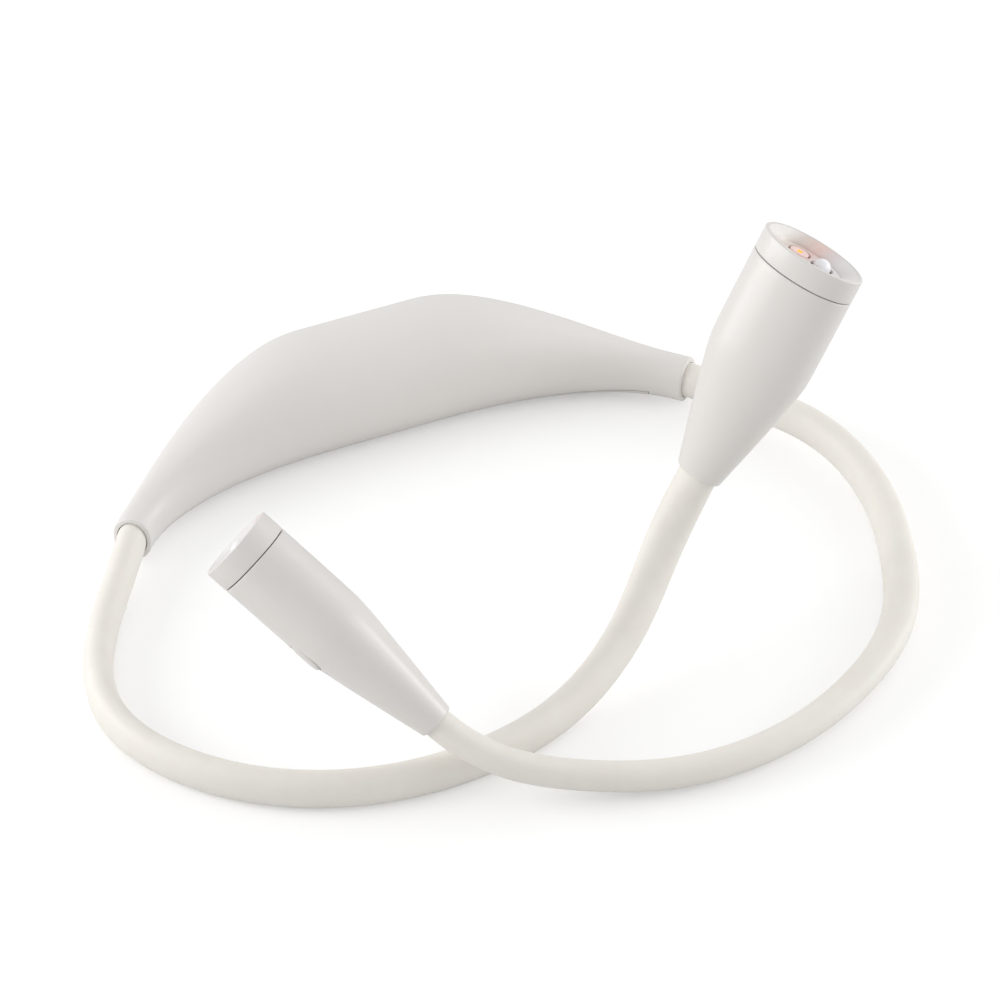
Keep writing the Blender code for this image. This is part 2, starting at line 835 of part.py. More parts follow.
def make_head_shell(name, material):
    top = seam_height() - SEAM_GAP
    mouth = NECK_SOCKET_DEPTH + NECK_BULKHEAD
    socket = (HOSE_BROAD / 2 + FIT_GAP, HOSE_NARROW / 2 + FIT_GAP)
    core = (CORE_DIAMETER / 2 + FIT_GAP,) * 2
    edge = head_half(0, NECK_EDGE)
    outer = [(0, *edge), (NECK_EDGE, *head_half(NECK_EDGE))]
    shoulder_end = HEAD_TAPER_LENGTH * HEAD_SHOULDER_END_SHARE
    rise = evenly(NECK_EDGE, shoulder_end, HEAD_TAPER_RINGS)
    outer += [(h, *head_half(h)) for h in rise[1:]]
    outer += [(top, *head_half(top))]
    inner = [(top, *head_half(top, HEAD_WALL))]
    fall = evenly(shoulder_end, mouth, HEAD_INNER_RINGS)
    inner += [(h, *head_half(h, HEAD_WALL)) for h in fall]
    inner += [(mouth, *core), (NECK_SOCKET_DEPTH, *core)]
    inner += [(NECK_SOCKET_DEPTH, *socket), (0, *socket)]
    shell = oval_profile(name, outer + inner, HEAD_RING_POINTS, HEAD_SQUARENESS, material, True)
    hole = button_solid("button_hole", FIT_GAP, -HEAD_NARROW, -HEAD_NARROW / 4, material)
    return cut(shell, hole)


def make_bezel(name, material):
    """The ring that closes the head: a plug, a rim, and a ledge inside for the reflector."""
    low, top = seam_height(), HEAD_LENGTH
    outside = head_half(top)
    foot, ledge = low - BEZEL_SPIGOT, top - BEZEL_LEDGE
    plug = head_half(top, HEAD_WALL + FIT_GAP)
    bore = head_half(top, HEAD_WALL + FIT_GAP + BEZEL_WALL)
    rim = head_half(top, BEZEL_RIM)
    profile = [
        (foot, *plug),
        (low, *plug),
        (low, *outside),
        (top - BEZEL_EDGE, *outside),
        (top, *head_half(top, BEZEL_EDGE)),
        (top, *rim),
        (ledge, *rim),
        (ledge, *bore),
        (foot, *bore),
    ]
    return oval_profile(name, profile, HEAD_RING_POINTS, HEAD_SQUARENESS, material, True)


def cup_floor_height():
    return HEAD_LENGTH - CUP_DEPTH


def bore_plug():
    """Half the sizes of a piece that fits inside the bezel's bore."""
    return head_half(HEAD_LENGTH, HEAD_WALL + BEZEL_WALL + 2 * FIT_GAP)


def make_reflector(name, material):
    """A glossy white dish that rests on the bezel's ledge, with a hole for each lamp."""
    top, low = HEAD_LENGTH - REFLECTOR_SUNK, cup_floor_height()
    flange_low = HEAD_LENGTH - BEZEL_LEDGE + FIT_GAP
    flange = head_half(HEAD_LENGTH, BEZEL_RIM + FIT_GAP)
    mouth = head_half(HEAD_LENGTH, BEZEL_RIM + FIT_GAP + REFLECTOR_EDGE)
    floor = (CUP_FLOOR_BROAD / 2, CUP_FLOOR_NARROW / 2)
    profile = [(low - CUP_WALL, *bore_plug()), (flange_low, *bore_plug())]
    profile += [(flange_low, *flange), (top, *flange)]
    for share in evenly(1, 0, CUP_RINGS):
        bow = share**CUP_CURVE_POWER
        half = [f + (m - f) * bow for f, m in zip(floor, mouth)]
        profile.append((low + (top - low) * share, *half))
    dish = oval_profile(name, profile, HEAD_RING_POINTS, HEAD_SQUARENESS, material)
    holes = []
    for side in (-1, 1):
        radius = WELL_DIAMETER / 2
        span = 2 * CUP_WALL
        well = [(low - span, radius), (low + span, radius)]
        hole = round_profile("lamp_hole", well, ROUND_POINTS, material)
        holes.append(moved(hole, Matrix.Translation((side * LAMP_SPACING / 2, 0, 0))))
    return cut(dish, *holes)


def lamp_board_top():
    return cup_floor_height() - CUP_WALL - FIT_GAP


def make_lamp_board(name, material):
    """The lamps' board, which fills the bezel's bore under the reflector."""
    top = lamp_board_top()
    profile = [(top - LAMP_BOARD_THICKNESS, *bore_plug()), (top, *bore_plug())]
    return oval_profile(name, profile, HEAD_RING_POINTS, HEAD_SQUARENESS, material)


def make_dome_lamp(name, side, material):
    """A lamp with a clear dome over its chip."""
    low, radius = lamp_board_top() + FIT_GAP, DOME_DIAMETER / 2
    collar = DOME_HEIGHT - radius
    profile = [(low, radius), (low + collar, radius)]
    for i in range(1, DOME_RINGS):
        angle = pi / 2 * i / DOME_RINGS
        profile.append((low + collar + radius * sin(angle), radius * cos(angle)))
    lamp = round_profile(name, profile, ROUND_POINTS, material)
    return moved(lamp, Matrix.Translation((side * LAMP_SPACING / 2, 0, 0)))


def make_chip_lamp(name, side, material):
    """A low lamp with a flat front and a rounded rim."""
    low, radius = lamp_board_top() + FIT_GAP, CHIP_DIAMETER / 2
    high = low + CHIP_HEIGHT
    profile = [(low, radius), (high - CHIP_EDGE, radius), (high, radius - CHIP_EDGE)]
    lamp = round_profile(name, profile, ROUND_POINTS, material)
    return moved(lamp, Matrix.Translation((side * LAMP_SPACING / 2, 0, 0)))


def make_driver_board(name, material):
    """A board on the head's middle plane, whose long edges reach the shell's inner wall."""
    low = NECK_SOCKET_DEPTH + NECK_BULKHEAD + CLAMP_LENGTH + DRIVER_BOARD_SETBACK
    high = seam_height() - BEZEL_SPIGOT - DRIVER_BOARD_SETBACK
    thick = DRIVER_BOARD_THICKNESS
    rings = []
    for height in evenly(low, high, DRIVER_BOARD_STATIONS):
        reach = head_half(height, HEAD_WALL + BOARD_EDGE_GAP)[0]
        corners = ((-reach, 0), (reach, 0), (reach, thick), (-reach, thick))
        rings.append([Vector((x, y, height)) for x, y in corners])
    return loft(name, rings, material)


def make_switch(name, material):
    """A push switch on the driver board, under the button."""
    far = -FIT_GAP - SWITCH_HEIGHT
    size = (SWITCH_SIDE, SWITCH_HEIGHT, SWITCH_SIDE)
    body = block(name, size, (0, (far - FIT_GAP) / 2, BUTTON_PLACE), material)
    radius = SWITCH_PLUNGER_DIAMETER / 2
    profile = [(-SWITCH_PLUNGER_HEIGHT, radius), (SWITCH_PLUNGER_HEIGHT, radius)]
    plunger = round_profile("plunger", profile, SMALL_ROUND_POINTS, material)
    place = Matrix.Translation((0, far, BUTTON_PLACE)) @ Matrix.Rotation(pi / 2, 4, "X")
    return joined(body, moved(plunger, place))


def make_button(name, material):
    """The button: a pill that stands a little proud, a flange inside and a short stem."""
    outside = -head_half(BUTTON_PLACE)[1]
    inside = -head_half(BUTTON_PLACE - BUTTON_LENGTH / 2, HEAD_WALL)[1]
    flange_top = inside + BUTTON_GAP
    flange_low = flange_top + BUTTON_FLANGE_THICKNESS
    plunger_top = -FIT_GAP - SWITCH_HEIGHT - SWITCH_PLUNGER_HEIGHT
    stem_end = plunger_top - BUTTON_TRAVEL - FIT_GAP
    cap = button_solid(name, 0, outside - BUTTON_PROUD, flange_low, material)
    flange = button_solid("flange", BUTTON_FLANGE, flange_top, flange_low, material)
    radius = BUTTON_STEM_DIAMETER / 2
    profile = [(0, radius), (stem_end - flange_top, radius)]
    stem = round_profile("stem", profile, SMALL_ROUND_POINTS, material)
    place = Matrix.Translation((0, flange_top, BUTTON_PLACE)) @ Matrix.Rotation(-pi / 2, 4, "X")
    return joined(cap, flange, moved(stem, place))


# Bodies: an empty on each joint's axis carries the pieces that move with it


def pivot(name, point, parent=None):
    empty = bpy.data.objects.new(name, None)
    empty.empty_display_size = ANCHOR_DIAMETER
    bpy.context.collection.objects.link(empty)
    empty.location = point - (parent["place"] if parent else Vector((0, 0, 0)))
    if parent:
        empty.parent = parent["empty"]
    return {"empty": empty, "place": point}


def carry(body, *pieces):
    """Hangs pieces that were made in place on a body's empty."""
    for piece in pieces:
        moved(piece, Matrix.Translation(-body["place"]))
        piece.parent = body["empty"]


def build_housing(body, finishes):
    shell_finish = finishes["housing"]
    shell = housing_body("housing_shell", shell_finish)
    cover = housing_body("under_cover", finishes["cover"])
    shell_end = COVER_END_SHARE
    cover_end = COVER_END_SHARE - SEAM_GAP / (SPINE_LENGTH / 2)
    shell = cut(shell, cover_blank("under_space", shell_end, SEAM_GAP, shell_finish))
    boolean(cover, cover_blank("cover_space", cover_end, 0, shell_finish), "INTERSECT")
    cover = baked(cover)
    ways = [hose_way(side, shell_finish) for side in (-1, 1)]
    shell = cut(shell, cavity("cavity_cut", shell_finish), *ways)
    cover = cut(cover, cavity("cavity_cut", shell_finish))
    shell = joined(shell, *screw_bosses(shell_finish))
    cover = joined(cover, *cradles(finishes["cover"]))
    cover = cut(cover, cell_cutter(shell_finish))
    head = SCREW_HEAD_DIAMETER / 2 + FIT_GAP
    shank = SCREW_DIAMETER / 2 + FIT_GAP
    cover = cut(cover, *screw_ways(head, shank, shell_finish))
    shell = cut(shell, *screw_ways(shank, shank, shell_finish))
    pipe_length = port_length()
    pipe_hole = pipe_shape(
        "pipe_hole", LIGHT_PIPE_DIAMETER / 2 + FIT_GAP, pipe_length + CUT_OVERRUN, shell_finish
    )
    shell = cut(shell, port_opening(shell_finish), pipe_hole)
    pipe = pipe_shape("charge_light_pipe", LIGHT_PIPE_DIAMETER / 2, pipe_length, finishes["lens"])
    carry(
        body,
        shell,
        cover,
        *make_screws(finishes["steel"]),
        make_cell(finishes["cell"]),
        make_charge_board(finishes["board"]),
        make_port(finishes["steel"]),
        pipe,
    )


def build_arm(arm, housing, finishes):
    """One arm, from its root in the housing to its lamp head."""
    name, silicone, steel = arm.name, finishes["silicone"], finishes["steel"]
    root, elbow, neck = (arm.at(place).point for place in arm.joint_places)
    lower = pivot(f"{name}_spread_axis", root, housing)
    upper = pivot(f"{name}_lift_axis", elbow, lower)
    head = pivot(f"{name}_nod_axis", neck, upper)
    flex_end, lower_end, upper_start, neck_start = arm.cuts
    cavity_end = -(1 - CAVITY_END_SHARE) * SPINE_LENGTH / 2
    tail = cavity_end - ANCHOR_LENGTH - FIT_GAP
    nose = ARM_LENGTH + NECK_SOCKET_DEPTH + NECK_BULKHEAD + CLAMP_LENGTH
    hose_tail = -SOCKET_DEPTH
    hose_nose = ARM_LENGTH + NECK_SOCKET_DEPTH - FIT_GAP
    stretches = (
        ("root_flex", "root_core", housing, None, flex_end),
        ("lower_hose", "lower_core", lower, flex_end, lower_end),
        ("mid_flex", "mid_core", lower, lower_end, upper_start),
        ("upper_hose", "upper_core", upper, upper_start, neck_start),
        ("neck_flex", "neck_core", upper, neck_start, None),
    )
    for hose, core, body, first, last in stretches:
        hose_first = hose_tail if first is None else first + FIT_GAP / 2
        core_first = tail if first is None else hose_first
        hose_last = hose_nose if last is None else last - FIT_GAP / 2
        core_last = nose if last is None else hose_last
        carry(body, hose_stretch(f"{name}_{hose}", arm, hose_first, hose_last, silicone))
        carry(body, core_stretch(f"{name}_{core}", arm, core_first, core_last, steel))
    anchor_last = cavity_end - FIT_GAP
    anchor_first = anchor_last - ANCHOR_LENGTH
    carry(housing, ring_on_core(f"{name}_hose_anchor", arm, anchor_first, anchor_last, steel))
    build_head(arm, head, finishes)


def build_head(arm, head, finishes):
    name = arm.name
    frame = arm.at(ARM_LENGTH)
    to_world = frame.matrix()
    plastic = finishes["housing"]
    pieces = [
        make_head_shell(f"{name}_head_shell", plastic),
        make_bezel(f"{name}_bezel", plastic),
        make_reflector(f"{name}_reflector", finishes["reflector"]),
        make_lamp_board(f"{name}_lamp_board", finishes["board"]),
        make_chip_lamp(f"{name}_warm_lamp", 1, finishes["amber"]),
        make_dome_lamp(f"{name}_white_lamp", -1, finishes["lens"]),
        make_driver_board(f"{name}_driver_board", finishes["board"]),
        make_switch(f"{name}_button_switch", finishes["steel"]),
    ]
    for piece in pieces:
        moved(piece, to_world)
    first = ARM_LENGTH + NECK_SOCKET_DEPTH + NECK_BULKHEAD + FIT_GAP
    clamp = ring_on_core(f"{name}_neck_clamp", arm, first, first + CLAMP_LENGTH, finishes["steel"])
    carry(head, *pieces, clamp)
    press_place = to_world @ Vector((0, -HEAD_NARROW / 2, BUTTON_PLACE))
    press = pivot(f"{name}_button_axis", press_place, head)
    carry(press, moved(make_button(f"{name}_button", plastic), to_world))


def print_frames(arms):
    """The places that the record needs, in metres in the part's own frame."""

    def shown(vector):
        return [round(value, 12) for value in vector]

    for arm in arms:
        for label, place in zip(("spread", "lift", "nod"), arm.joint_places):
            frame = arm.at(place)
            print(arm.name, label, shown(frame.point), "side", shown(frame.side))
        end = arm.at(ARM_LENGTH)
        for label, vector in (("neck", end.point), ("ahead", end.ahead), ("narrow", end.narrow)):
            print(arm.name, label, shown(vector))


def build():
    clear_scene()
    finishes = {
        "housing": finish("white_plastic", (0.84, 0.83, 0.80), 0.42),
        "cover": finish("white_plastic_cover", (0.83, 0.82, 0.79), 0.45),
        "silicone": finish("cream_silicone", (0.86, 0.84, 0.79), 0.50),
        "steel": finish("bright_steel", (0.62, 0.62, 0.63), 0.30, 1.0),
        "cell": finish("blue_cell_sleeve", (0.05, 0.16, 0.45), 0.35),
        "board": finish("green_board", (0.03, 0.22, 0.09), 0.45),
        "reflector": finish("white_reflector", (0.88, 0.87, 0.85), 0.25),
        "amber": finish("amber_lamp", (0.95, 0.55, 0.12), 0.25),
        "lens": finish("clear_lens", (0.93, 0.94, 0.95), 0.08),
    }
    housing = pivot("neckband_frame", Vector((0, 0, 0)))
    build_housing(housing, finishes)
    arms = (Arm("left", -1, LEFT_COURSE_SHARES), Arm("right", 1, RIGHT_COURSE_SHARES))
    for arm in arms:
        build_arm(arm, housing, finishes)
    print_frames(arms)


build()
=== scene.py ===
# %% [markdown]
# # A neck light, dressed for its photograph
# A neck light is a reading lamp that hangs round the reader's neck. A curved battery housing
# sits on the nape, two bendable hoses come round to the front, and each ends in a small lamp.
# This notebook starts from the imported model, in which every piece already has its true size
# and place. It gives each visible piece a finer skin and a finish, then sets up the light and
# the camera. Lengths are in metres throughout, with +Z up.

from math import asin, atan2, cos, pi, radians, sin, sqrt

import bmesh
import bpy
from mathutils import Matrix, Vector


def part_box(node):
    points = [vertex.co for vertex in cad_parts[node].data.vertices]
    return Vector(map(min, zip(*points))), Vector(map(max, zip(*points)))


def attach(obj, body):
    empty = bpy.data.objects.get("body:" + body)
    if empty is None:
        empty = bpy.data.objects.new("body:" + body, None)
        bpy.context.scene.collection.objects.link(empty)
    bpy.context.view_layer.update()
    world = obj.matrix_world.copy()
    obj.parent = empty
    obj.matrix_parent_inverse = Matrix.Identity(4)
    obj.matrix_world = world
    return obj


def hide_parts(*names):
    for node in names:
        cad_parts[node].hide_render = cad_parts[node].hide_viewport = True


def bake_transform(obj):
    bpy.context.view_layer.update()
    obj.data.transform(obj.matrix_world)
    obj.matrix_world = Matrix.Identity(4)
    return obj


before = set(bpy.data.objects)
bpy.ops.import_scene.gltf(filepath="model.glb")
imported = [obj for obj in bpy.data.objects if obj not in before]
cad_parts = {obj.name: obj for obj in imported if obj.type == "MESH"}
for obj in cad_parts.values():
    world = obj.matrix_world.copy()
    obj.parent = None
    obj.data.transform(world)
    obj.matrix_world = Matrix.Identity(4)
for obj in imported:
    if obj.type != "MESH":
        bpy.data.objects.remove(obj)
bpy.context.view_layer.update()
UP = Vector((0, 0, 1))

# %% [markdown]
# ## Sizes
# These are the light's sizes. The housing is described by its spine,
# the curve that its inner face follows, and by the oval of its cross section, which shrinks
# towards the two sleeves. Each hose is described by its course: at some shares of its length,
# the heading seen from above, the climb, and how far its broad side is turned.

# %% Sizes of the housing, the hoses and the heads
SPINE_LENGTH, SPINE_END_TURN, SPINE_TURN_POWER = 0.183, 53, 3
HOUSING_HEIGHT, HOUSING_DEPTH = 0.0346, 0.0338
SLEEVE_HEIGHT, SLEEVE_DEPTH, SLEEVE_LIFT = 0.0136, 0.0108, 0.0018
TAPER_START_SHARE, TAPER_END_SHARE = 0.20, 0.95
HOUSING_SQUARENESS = 2.3
HOUSING_WALL, BASE_FLAT_CUT = 0.0018, 0.0007
COVER_END_SHARE, COVER_DEPTH = 0.88, 0.0031
SOCKET_DEPTH = 0.009
HOSE_BROAD, HOSE_NARROW = 0.0110, 0.0082
ARM_LENGTH, FLEX_LENGTH, MID_JOINT_SHARE = 0.285, 0.0285, 0.70
HEAD_LENGTH, HEAD_BROAD, HEAD_NARROW = 0.0695, 0.0307, 0.0212
NECK_BROAD, NECK_NARROW = 0.0132, 0.0098
HEAD_TAPER_LENGTH, HEAD_TAPER_POWER, HEAD_SQUARENESS = 0.0364, 1.08, 2.0
BEZEL_LENGTH, HEAD_WALL, BEZEL_WALL = 0.0064, 0.0015, 0.0012
FIT_GAP = SEAM_GAP = 0.0003

LEFT_COURSE = (
    (0.0, 235, -8.6, 90),
    (0.1, 237, -2.2, 90),
    (0.2, 255, 0.1, 90),
    (0.3, 292, 0, 90),
    (0.4, 318, 0, 90),
    (0.5, 340, 0, 90),
    (0.6, 360, 0.1, 92),
    (0.7, 378, 1.3, 98),
    (0.8, 389.3, 19.9, 114),
    (0.9, 394.6, 43, 137),
    (1.0, 363, 61.8, 159),
)
RIGHT_COURSE = (
    (0.0, 307, 1, 90),
    (0.1, 302, -1.2, 94),
    (0.2, 275, -3.5, 108),
    (0.3, 254, -1.5, 124),
    (0.4, 242, -0.8, 136),
    (0.5, 218, -0.4, 138),
    (0.6, 202, -0.2, 138),
    (0.7, 182.9, 0, 138),
    (0.8, 163.8, 4.4, 138),
    (0.9, 156.1, 15.8, 132),
    (1.0, 129.9, 35.1, 124),
)
print("each hose runs", ARM_LENGTH, "m from its sleeve to its head")

# %% [markdown]
# ## The camera
# The photograph looks down at the light from the front left. The camera's angle and distance
# were found by fitting the housing's outline, so they are plain numbers here. The lens follows
# from the distance at which the object fills the frame.

# %% Set up the camera
def stand(name, data):
    """A new object with this data, linked into the scene."""
    made = bpy.data.objects.new(name, data)
    bpy.context.collection.objects.link(made)
    return made


CAMERA_TURN, CAMERA_CLIMB = radians(-25.1), radians(38.8)
CAMERA_PLACE = Vector((-0.3721, -0.8814, 0.7390))
CAMERA_LENS, SENSOR_WIDTH = 150.3, 36.0

camera_data = bpy.data.cameras.new("camera")
camera_data.lens, camera_data.sensor_width = CAMERA_LENS, SENSOR_WIDTH
camera_data.clip_start, camera_data.clip_end = 0.05, 20
camera = stand("camera", camera_data)
right = Vector((cos(CAMERA_TURN), sin(CAMERA_TURN), 0))
flat = cos(CAMERA_CLIMB)
backward = Vector((sin(CAMERA_TURN) * flat, -cos(CAMERA_TURN) * flat, sin(CAMERA_CLIMB)))
upward = backward.cross(right)
turn = Matrix((right, upward, backward)).transposed().to_4x4()
camera.matrix_world = Matrix.Translation(CAMERA_PLACE) @ turn
bpy.context.scene.camera = camera
print("camera", round(CAMERA_PLACE.length, 3), "m from the housing")

# %% [markdown]
# ## Node graphs written as sums
# A finish or a geometry tree is a graph of nodes. Written node by node it is long and hard to
# read, so two small classes carry the work. `Wire` stands for one output of a node, and sums
# written with wires become Math nodes. `Graph.node` makes any other node: it takes the node's
# type, its settings, and the values or wires for its sockets.

# %% Wires and graphs
class Wire:
    """One output of a node. A sum of wires and numbers adds the Math nodes it needs."""

    def __init__(self, graph, socket):
        self.graph, self.socket = graph, socket

    def math(self, operation, first, second=0.0, clamp=False):
        settings = {"operation": operation, "use_clamp": clamp}
        return self.graph.node("ShaderNodeMath", settings, {0: first, 1: second})

    def __add__(self, other):
        return self.math("ADD", self, other)

    __radd__ = __add__

    def __sub__(self, other):
        return self.math("SUBTRACT", self, other)

    def __rsub__(self, other):
        return self.math("SUBTRACT", other, self)

    def __mul__(self, other):
        return self.math("MULTIPLY", self, other)

    __rmul__ = __mul__

    def __truediv__(self, other):
        return self.math("DIVIDE", self, other)

    def held(self):
        """The same value, held between 0 and 1."""
        return self.math("ADD", self, 0.0, clamp=True)

    def over(self, edge, width):
        """0 below the edge and 1 above it, with a soft step of this width."""
        return ((self - (edge - width / 2)) / width).held()

    def wave(self):
        return self.math("SINE", self)


class Graph:
    """A node tree that is being filled, in a material, a world or a geometry group."""

    def __init__(self, tree):
        self.tree = tree

    def node(self, kind, settings=None, values=None, out=0):
        made = self.tree.nodes.new(kind)
        for key, value in (settings or {}).items():
            if key == "stops":
                ramp = made.color_ramp
                for spot, (place, color) in zip(self.stops(ramp, len(value)), value):
                    spot.position, spot.color = place, color
            else:
                setattr(made, key, value)
        for key, value in (values or {}).items():
            if isinstance(value, Wire):
                self.tree.links.new(value.socket, made.inputs[key])
            else:
                made.inputs[key].default_value = value
        return Wire(self, made.outputs[out]) if made.outputs else made

    def stops(self, ramp, count):
        while len(ramp.elements) < count:
            ramp.elements.new(1.0)
        return list(ramp.elements)

    def blend(self, share, first, second):
        """A colour between two colours."""
        settings = {"data_type": "RGBA", "clamp_factor": True}
        return self.node("ShaderNodeMix", settings, {0: share, 6: first, 7: second}, out=2)

    def noise(self, place, scale, detail=2.0, roughness=0.5):
        values = {"Vector": place, "Scale": scale, "Detail": detail, "Roughness": roughness}
        return self.node("ShaderNodeTexNoise", None, values)

    def stretched(self, place, scale):
        return self.node("ShaderNodeVectorMath", {"operation": "MULTIPLY"}, {0: place, 1: scale})

    def along(self, place, axis):
        return self.node("ShaderNodeSeparateXYZ", None, {0: place}, out=axis)


def emptied(owner):
    """The graph of a material or a world, with nothing in it yet."""
    owner.use_nodes = True
    owner.node_tree.nodes.clear()
    return Graph(owner.node_tree)


print("graph tools ready")

# %% [markdown]
# ## Finishes: what they share
# Every finish here starts from the Principled shader and reads Object coordinates, so its
# grain stays fixed to the piece when a joint moves. Nothing on the real light is one flat
# colour. Moulded plastic has a fine spark-eroded grain, slow drifts in tone from the mould's
# flow, and a little handling wear that changes how it shines. The `finish` helper builds the
# material, and each finish supplies only what is special about it.

# %% The finish maker
FINISHES = {}


def tone(red, green, blue):
    return (red, green, blue, 1.0)


def finish(name, paint):
    """A material whose Principled shader gets its socket values from paint(graph, place)."""
    material = bpy.data.materials.new(name)
    graph = emptied(material)
    place = graph.node("ShaderNodeTexCoord", out="Object")
    shader = graph.node("ShaderNodeBsdfPrincipled", None, paint(graph, place))
    graph.node("ShaderNodeOutputMaterial", None, {"Surface": shader})
    FINISHES[name] = material
    return material


def grain(graph, height, depth, strength):
    """A bump from a height map that spans this depth in metres."""
    values = {"Strength": strength, "Distance": depth, "Height": height}
    return graph.node("ShaderNodeBump", None, values)


print("finish maker ready")

# %% [markdown]
# ## Moulded white plastic
# The housing and the heads are moulded in white ABS with a satin face. Up close it has an
# even sandy grain a few tenths of a millimetre across. From arm's length it shows only as the
# soft edge of every reflection, so the grain goes into the bump and the roughness, and the
# colour moves by only a few percent. A faint warm drift keeps large faces from looking flat.

# %% White plastic, for the housing, the cover, the heads and the buttons
def moulded_plastic(light, warm, dull, drift_scale):
    def paint(graph, place):
        drift = graph.noise(place, drift_scale, 3.0)
        sand = graph.noise(place, 2600.0, 2.0, 0.6)
        clouds = graph.noise(place, 240.0, 3.0, 0.55)
        rubbed = clouds.over(0.62, 0.18)
        speck = graph.noise(place, 900.0, 1.0).over(0.74, 0.04)
        color = graph.blend(drift.over(0.5, 0.5), light, warm)
        color = graph.blend(speck * 0.06, color, tone(0.56, 0.54, 0.50))
        gloss = dull + (clouds - 0.5) * 0.10 - rubbed * 0.05 + (sand - 0.5) * 0.06
        return {
            "Base Color": color,
            "Roughness": gloss.held(),
            "Specular IOR Level": 0.5,
            "Normal": grain(graph, sand, 0.00004, 0.25),
        }

    return paint


WHITE = finish(
    "moulded_white_plastic",
    moulded_plastic(tone(0.828, 0.808, 0.785), tone(0.808, 0.782, 0.752), 0.42, 14.0),
)
HEAD_WHITE = finish(
    "head_white_plastic",
    moulded_plastic(tone(0.813, 0.79, 0.763), tone(0.788, 0.76, 0.727), 0.31, 22.0),
)
COVER_WHITE = finish(
    "cover_white_plastic",
    moulded_plastic(tone(0.81, 0.793, 0.77), tone(0.79, 0.766, 0.736), 0.50, 18.0),
)
BUTTON_WHITE = finish(
    "button_white_plastic",
    moulded_plastic(tone(0.78, 0.762, 0.735), tone(0.76, 0.735, 0.705), 0.34, 60.0),
)
print("white plastics:", sorted(FINISHES))

# %% [markdown]
# ## Cream silicone
# The hoses wear a soft silicone sleeve, a little yellower than the plastic. Silicone lets light
# travel a millimetre or so under its skin, so its shadows have soft edges: that is what the
# subsurface weight is for. Its face is matte with a dry, dusty bloom, and lint clings to it,
# so a few faint fibres and dust marks break up the tone.

# %% Silicone, for the hoses
def dusty_silicone(graph, place):
    drift = graph.noise(place, 18.0, 3.0)
    skin = graph.noise(place, 1400.0, 3.0, 0.6)
    bloom = graph.noise(place, 130.0, 4.0, 0.6)
    fibre = graph.noise(graph.stretched(place, (60.0, 900.0, 900.0)), 1.0, 1.0).over(0.76, 0.03)
    color = graph.blend(drift.over(0.5, 0.5), tone(0.901, 0.871, 0.817), tone(0.877, 0.839, 0.778))
    color = graph.blend(bloom.over(0.56, 0.25) * 0.35, color, tone(0.93, 0.915, 0.88))
    color = graph.blend(fibre * 0.1, color, tone(0.62, 0.60, 0.57))
    return {
        "Base Color": color,
        "Roughness": (0.50 + (bloom - 0.5) * 0.18 + (skin - 0.5) * 0.06).held(),
        "Specular IOR Level": 0.40,
        "Subsurface Weight": 0.12,
        "Subsurface Radius": (1.0, 0.75, 0.5),
        "Subsurface Scale": 0.0015,
        "Normal": grain(graph, skin + bloom * 0.5, 0.00005, 0.2),
    }


SILICONE = finish("cream_silicone_sleeve", dusty_silicone)
print("silicone ready")

# %% [markdown]
# ## Metals, boards, bowl and lamps
# The other finishes are quick relatives of the first two. Steel is brushed, so its roughness
# is stretched along one axis. A circuit board has a green mask over copper tracks. The bowl is
# white plastic with light and shade painted into its tone: a painted rosy glow of the warm lamp
# on one side, painted greyer shade by the white one, and paler near both ends. That painted
# tone is read from a value stored on the bowl's points.
# The warm lamp's die gives off light of its own, and the dome is clear resin over a pale
# phosphor.

# %% Steel
def brushed_steel(light, dull, brush):
    def paint(graph, place):
        lines = graph.noise(graph.stretched(place, brush), 1.0, 3.0, 0.6)
        tarnish = graph.noise(place, 160.0, 3.0)
        shade = tuple(value * 0.8 for value in light[:3])
        return {
            "Base Color": graph.blend(tarnish.over(0.5, 0.4), light, tone(*shade)),
            "Metallic": 1.0,
            "Roughness": (dull + (lines - 0.5) * 0.25).held(),
            "Normal": grain(graph, lines, 0.00002, 0.2),
        }

    return paint


STEEL = finish("bright_steel", brushed_steel(tone(0.66, 0.66, 0.67), 0.28, (300.0, 3000.0, 3000.0)))


def coiled_wire(graph, place):
    ridges = (graph.along(place, 0) * 7000.0 + graph.along(place, 1) * 7000.0).wave()
    stain = graph.noise(place, 200.0, 3.0)
    return {
        "Base Color": graph.blend(stain, tone(0.50, 0.50, 0.52), tone(0.38, 0.38, 0.40)),
        "Metallic": 1.0,
        "Roughness": (0.34 + ridges * 0.06).held(),
        "Normal": grain(graph, ridges, 0.0001, 0.6),
    }


COIL = finish("coiled_core_steel", coiled_wire)
print("steels ready")

# %% Board, cell sleeve and switch
def solder_mask(graph, place):
    tracks = graph.node("ShaderNodeTexBrick", None, {"Vector": place, "Scale": 260.0}, out=1)
    pads = graph.node("ShaderNodeTexVoronoi", None, {"Vector": place, "Scale": 420.0})
    pad = 1 - pads.over(0.12, 0.03)
    green = graph.blend(tracks, tone(0.015, 0.14, 0.06), tone(0.03, 0.22, 0.09))
    return {
        "Base Color": graph.blend(pad, green, tone(0.72, 0.70, 0.62)),
        "Metallic": pad * 0.8,
        "Roughness": (0.38 - pad * 0.1).held(),
        "Coat Weight": 0.4,
        "Normal": grain(graph, tracks, 0.00005, 0.4),
    }


def shrink_sleeve(graph, place):
    ripple = graph.noise(graph.stretched(place, (60.0, 400.0, 400.0)), 1.0, 3.0)
    return {
        "Base Color": graph.blend(ripple, tone(0.04, 0.13, 0.40), tone(0.06, 0.19, 0.50)),
        "Roughness": (0.28 + ripple * 0.15).held(),
        "Coat Weight": 0.3,
        "Normal": grain(graph, ripple, 0.0001, 0.3),
    }


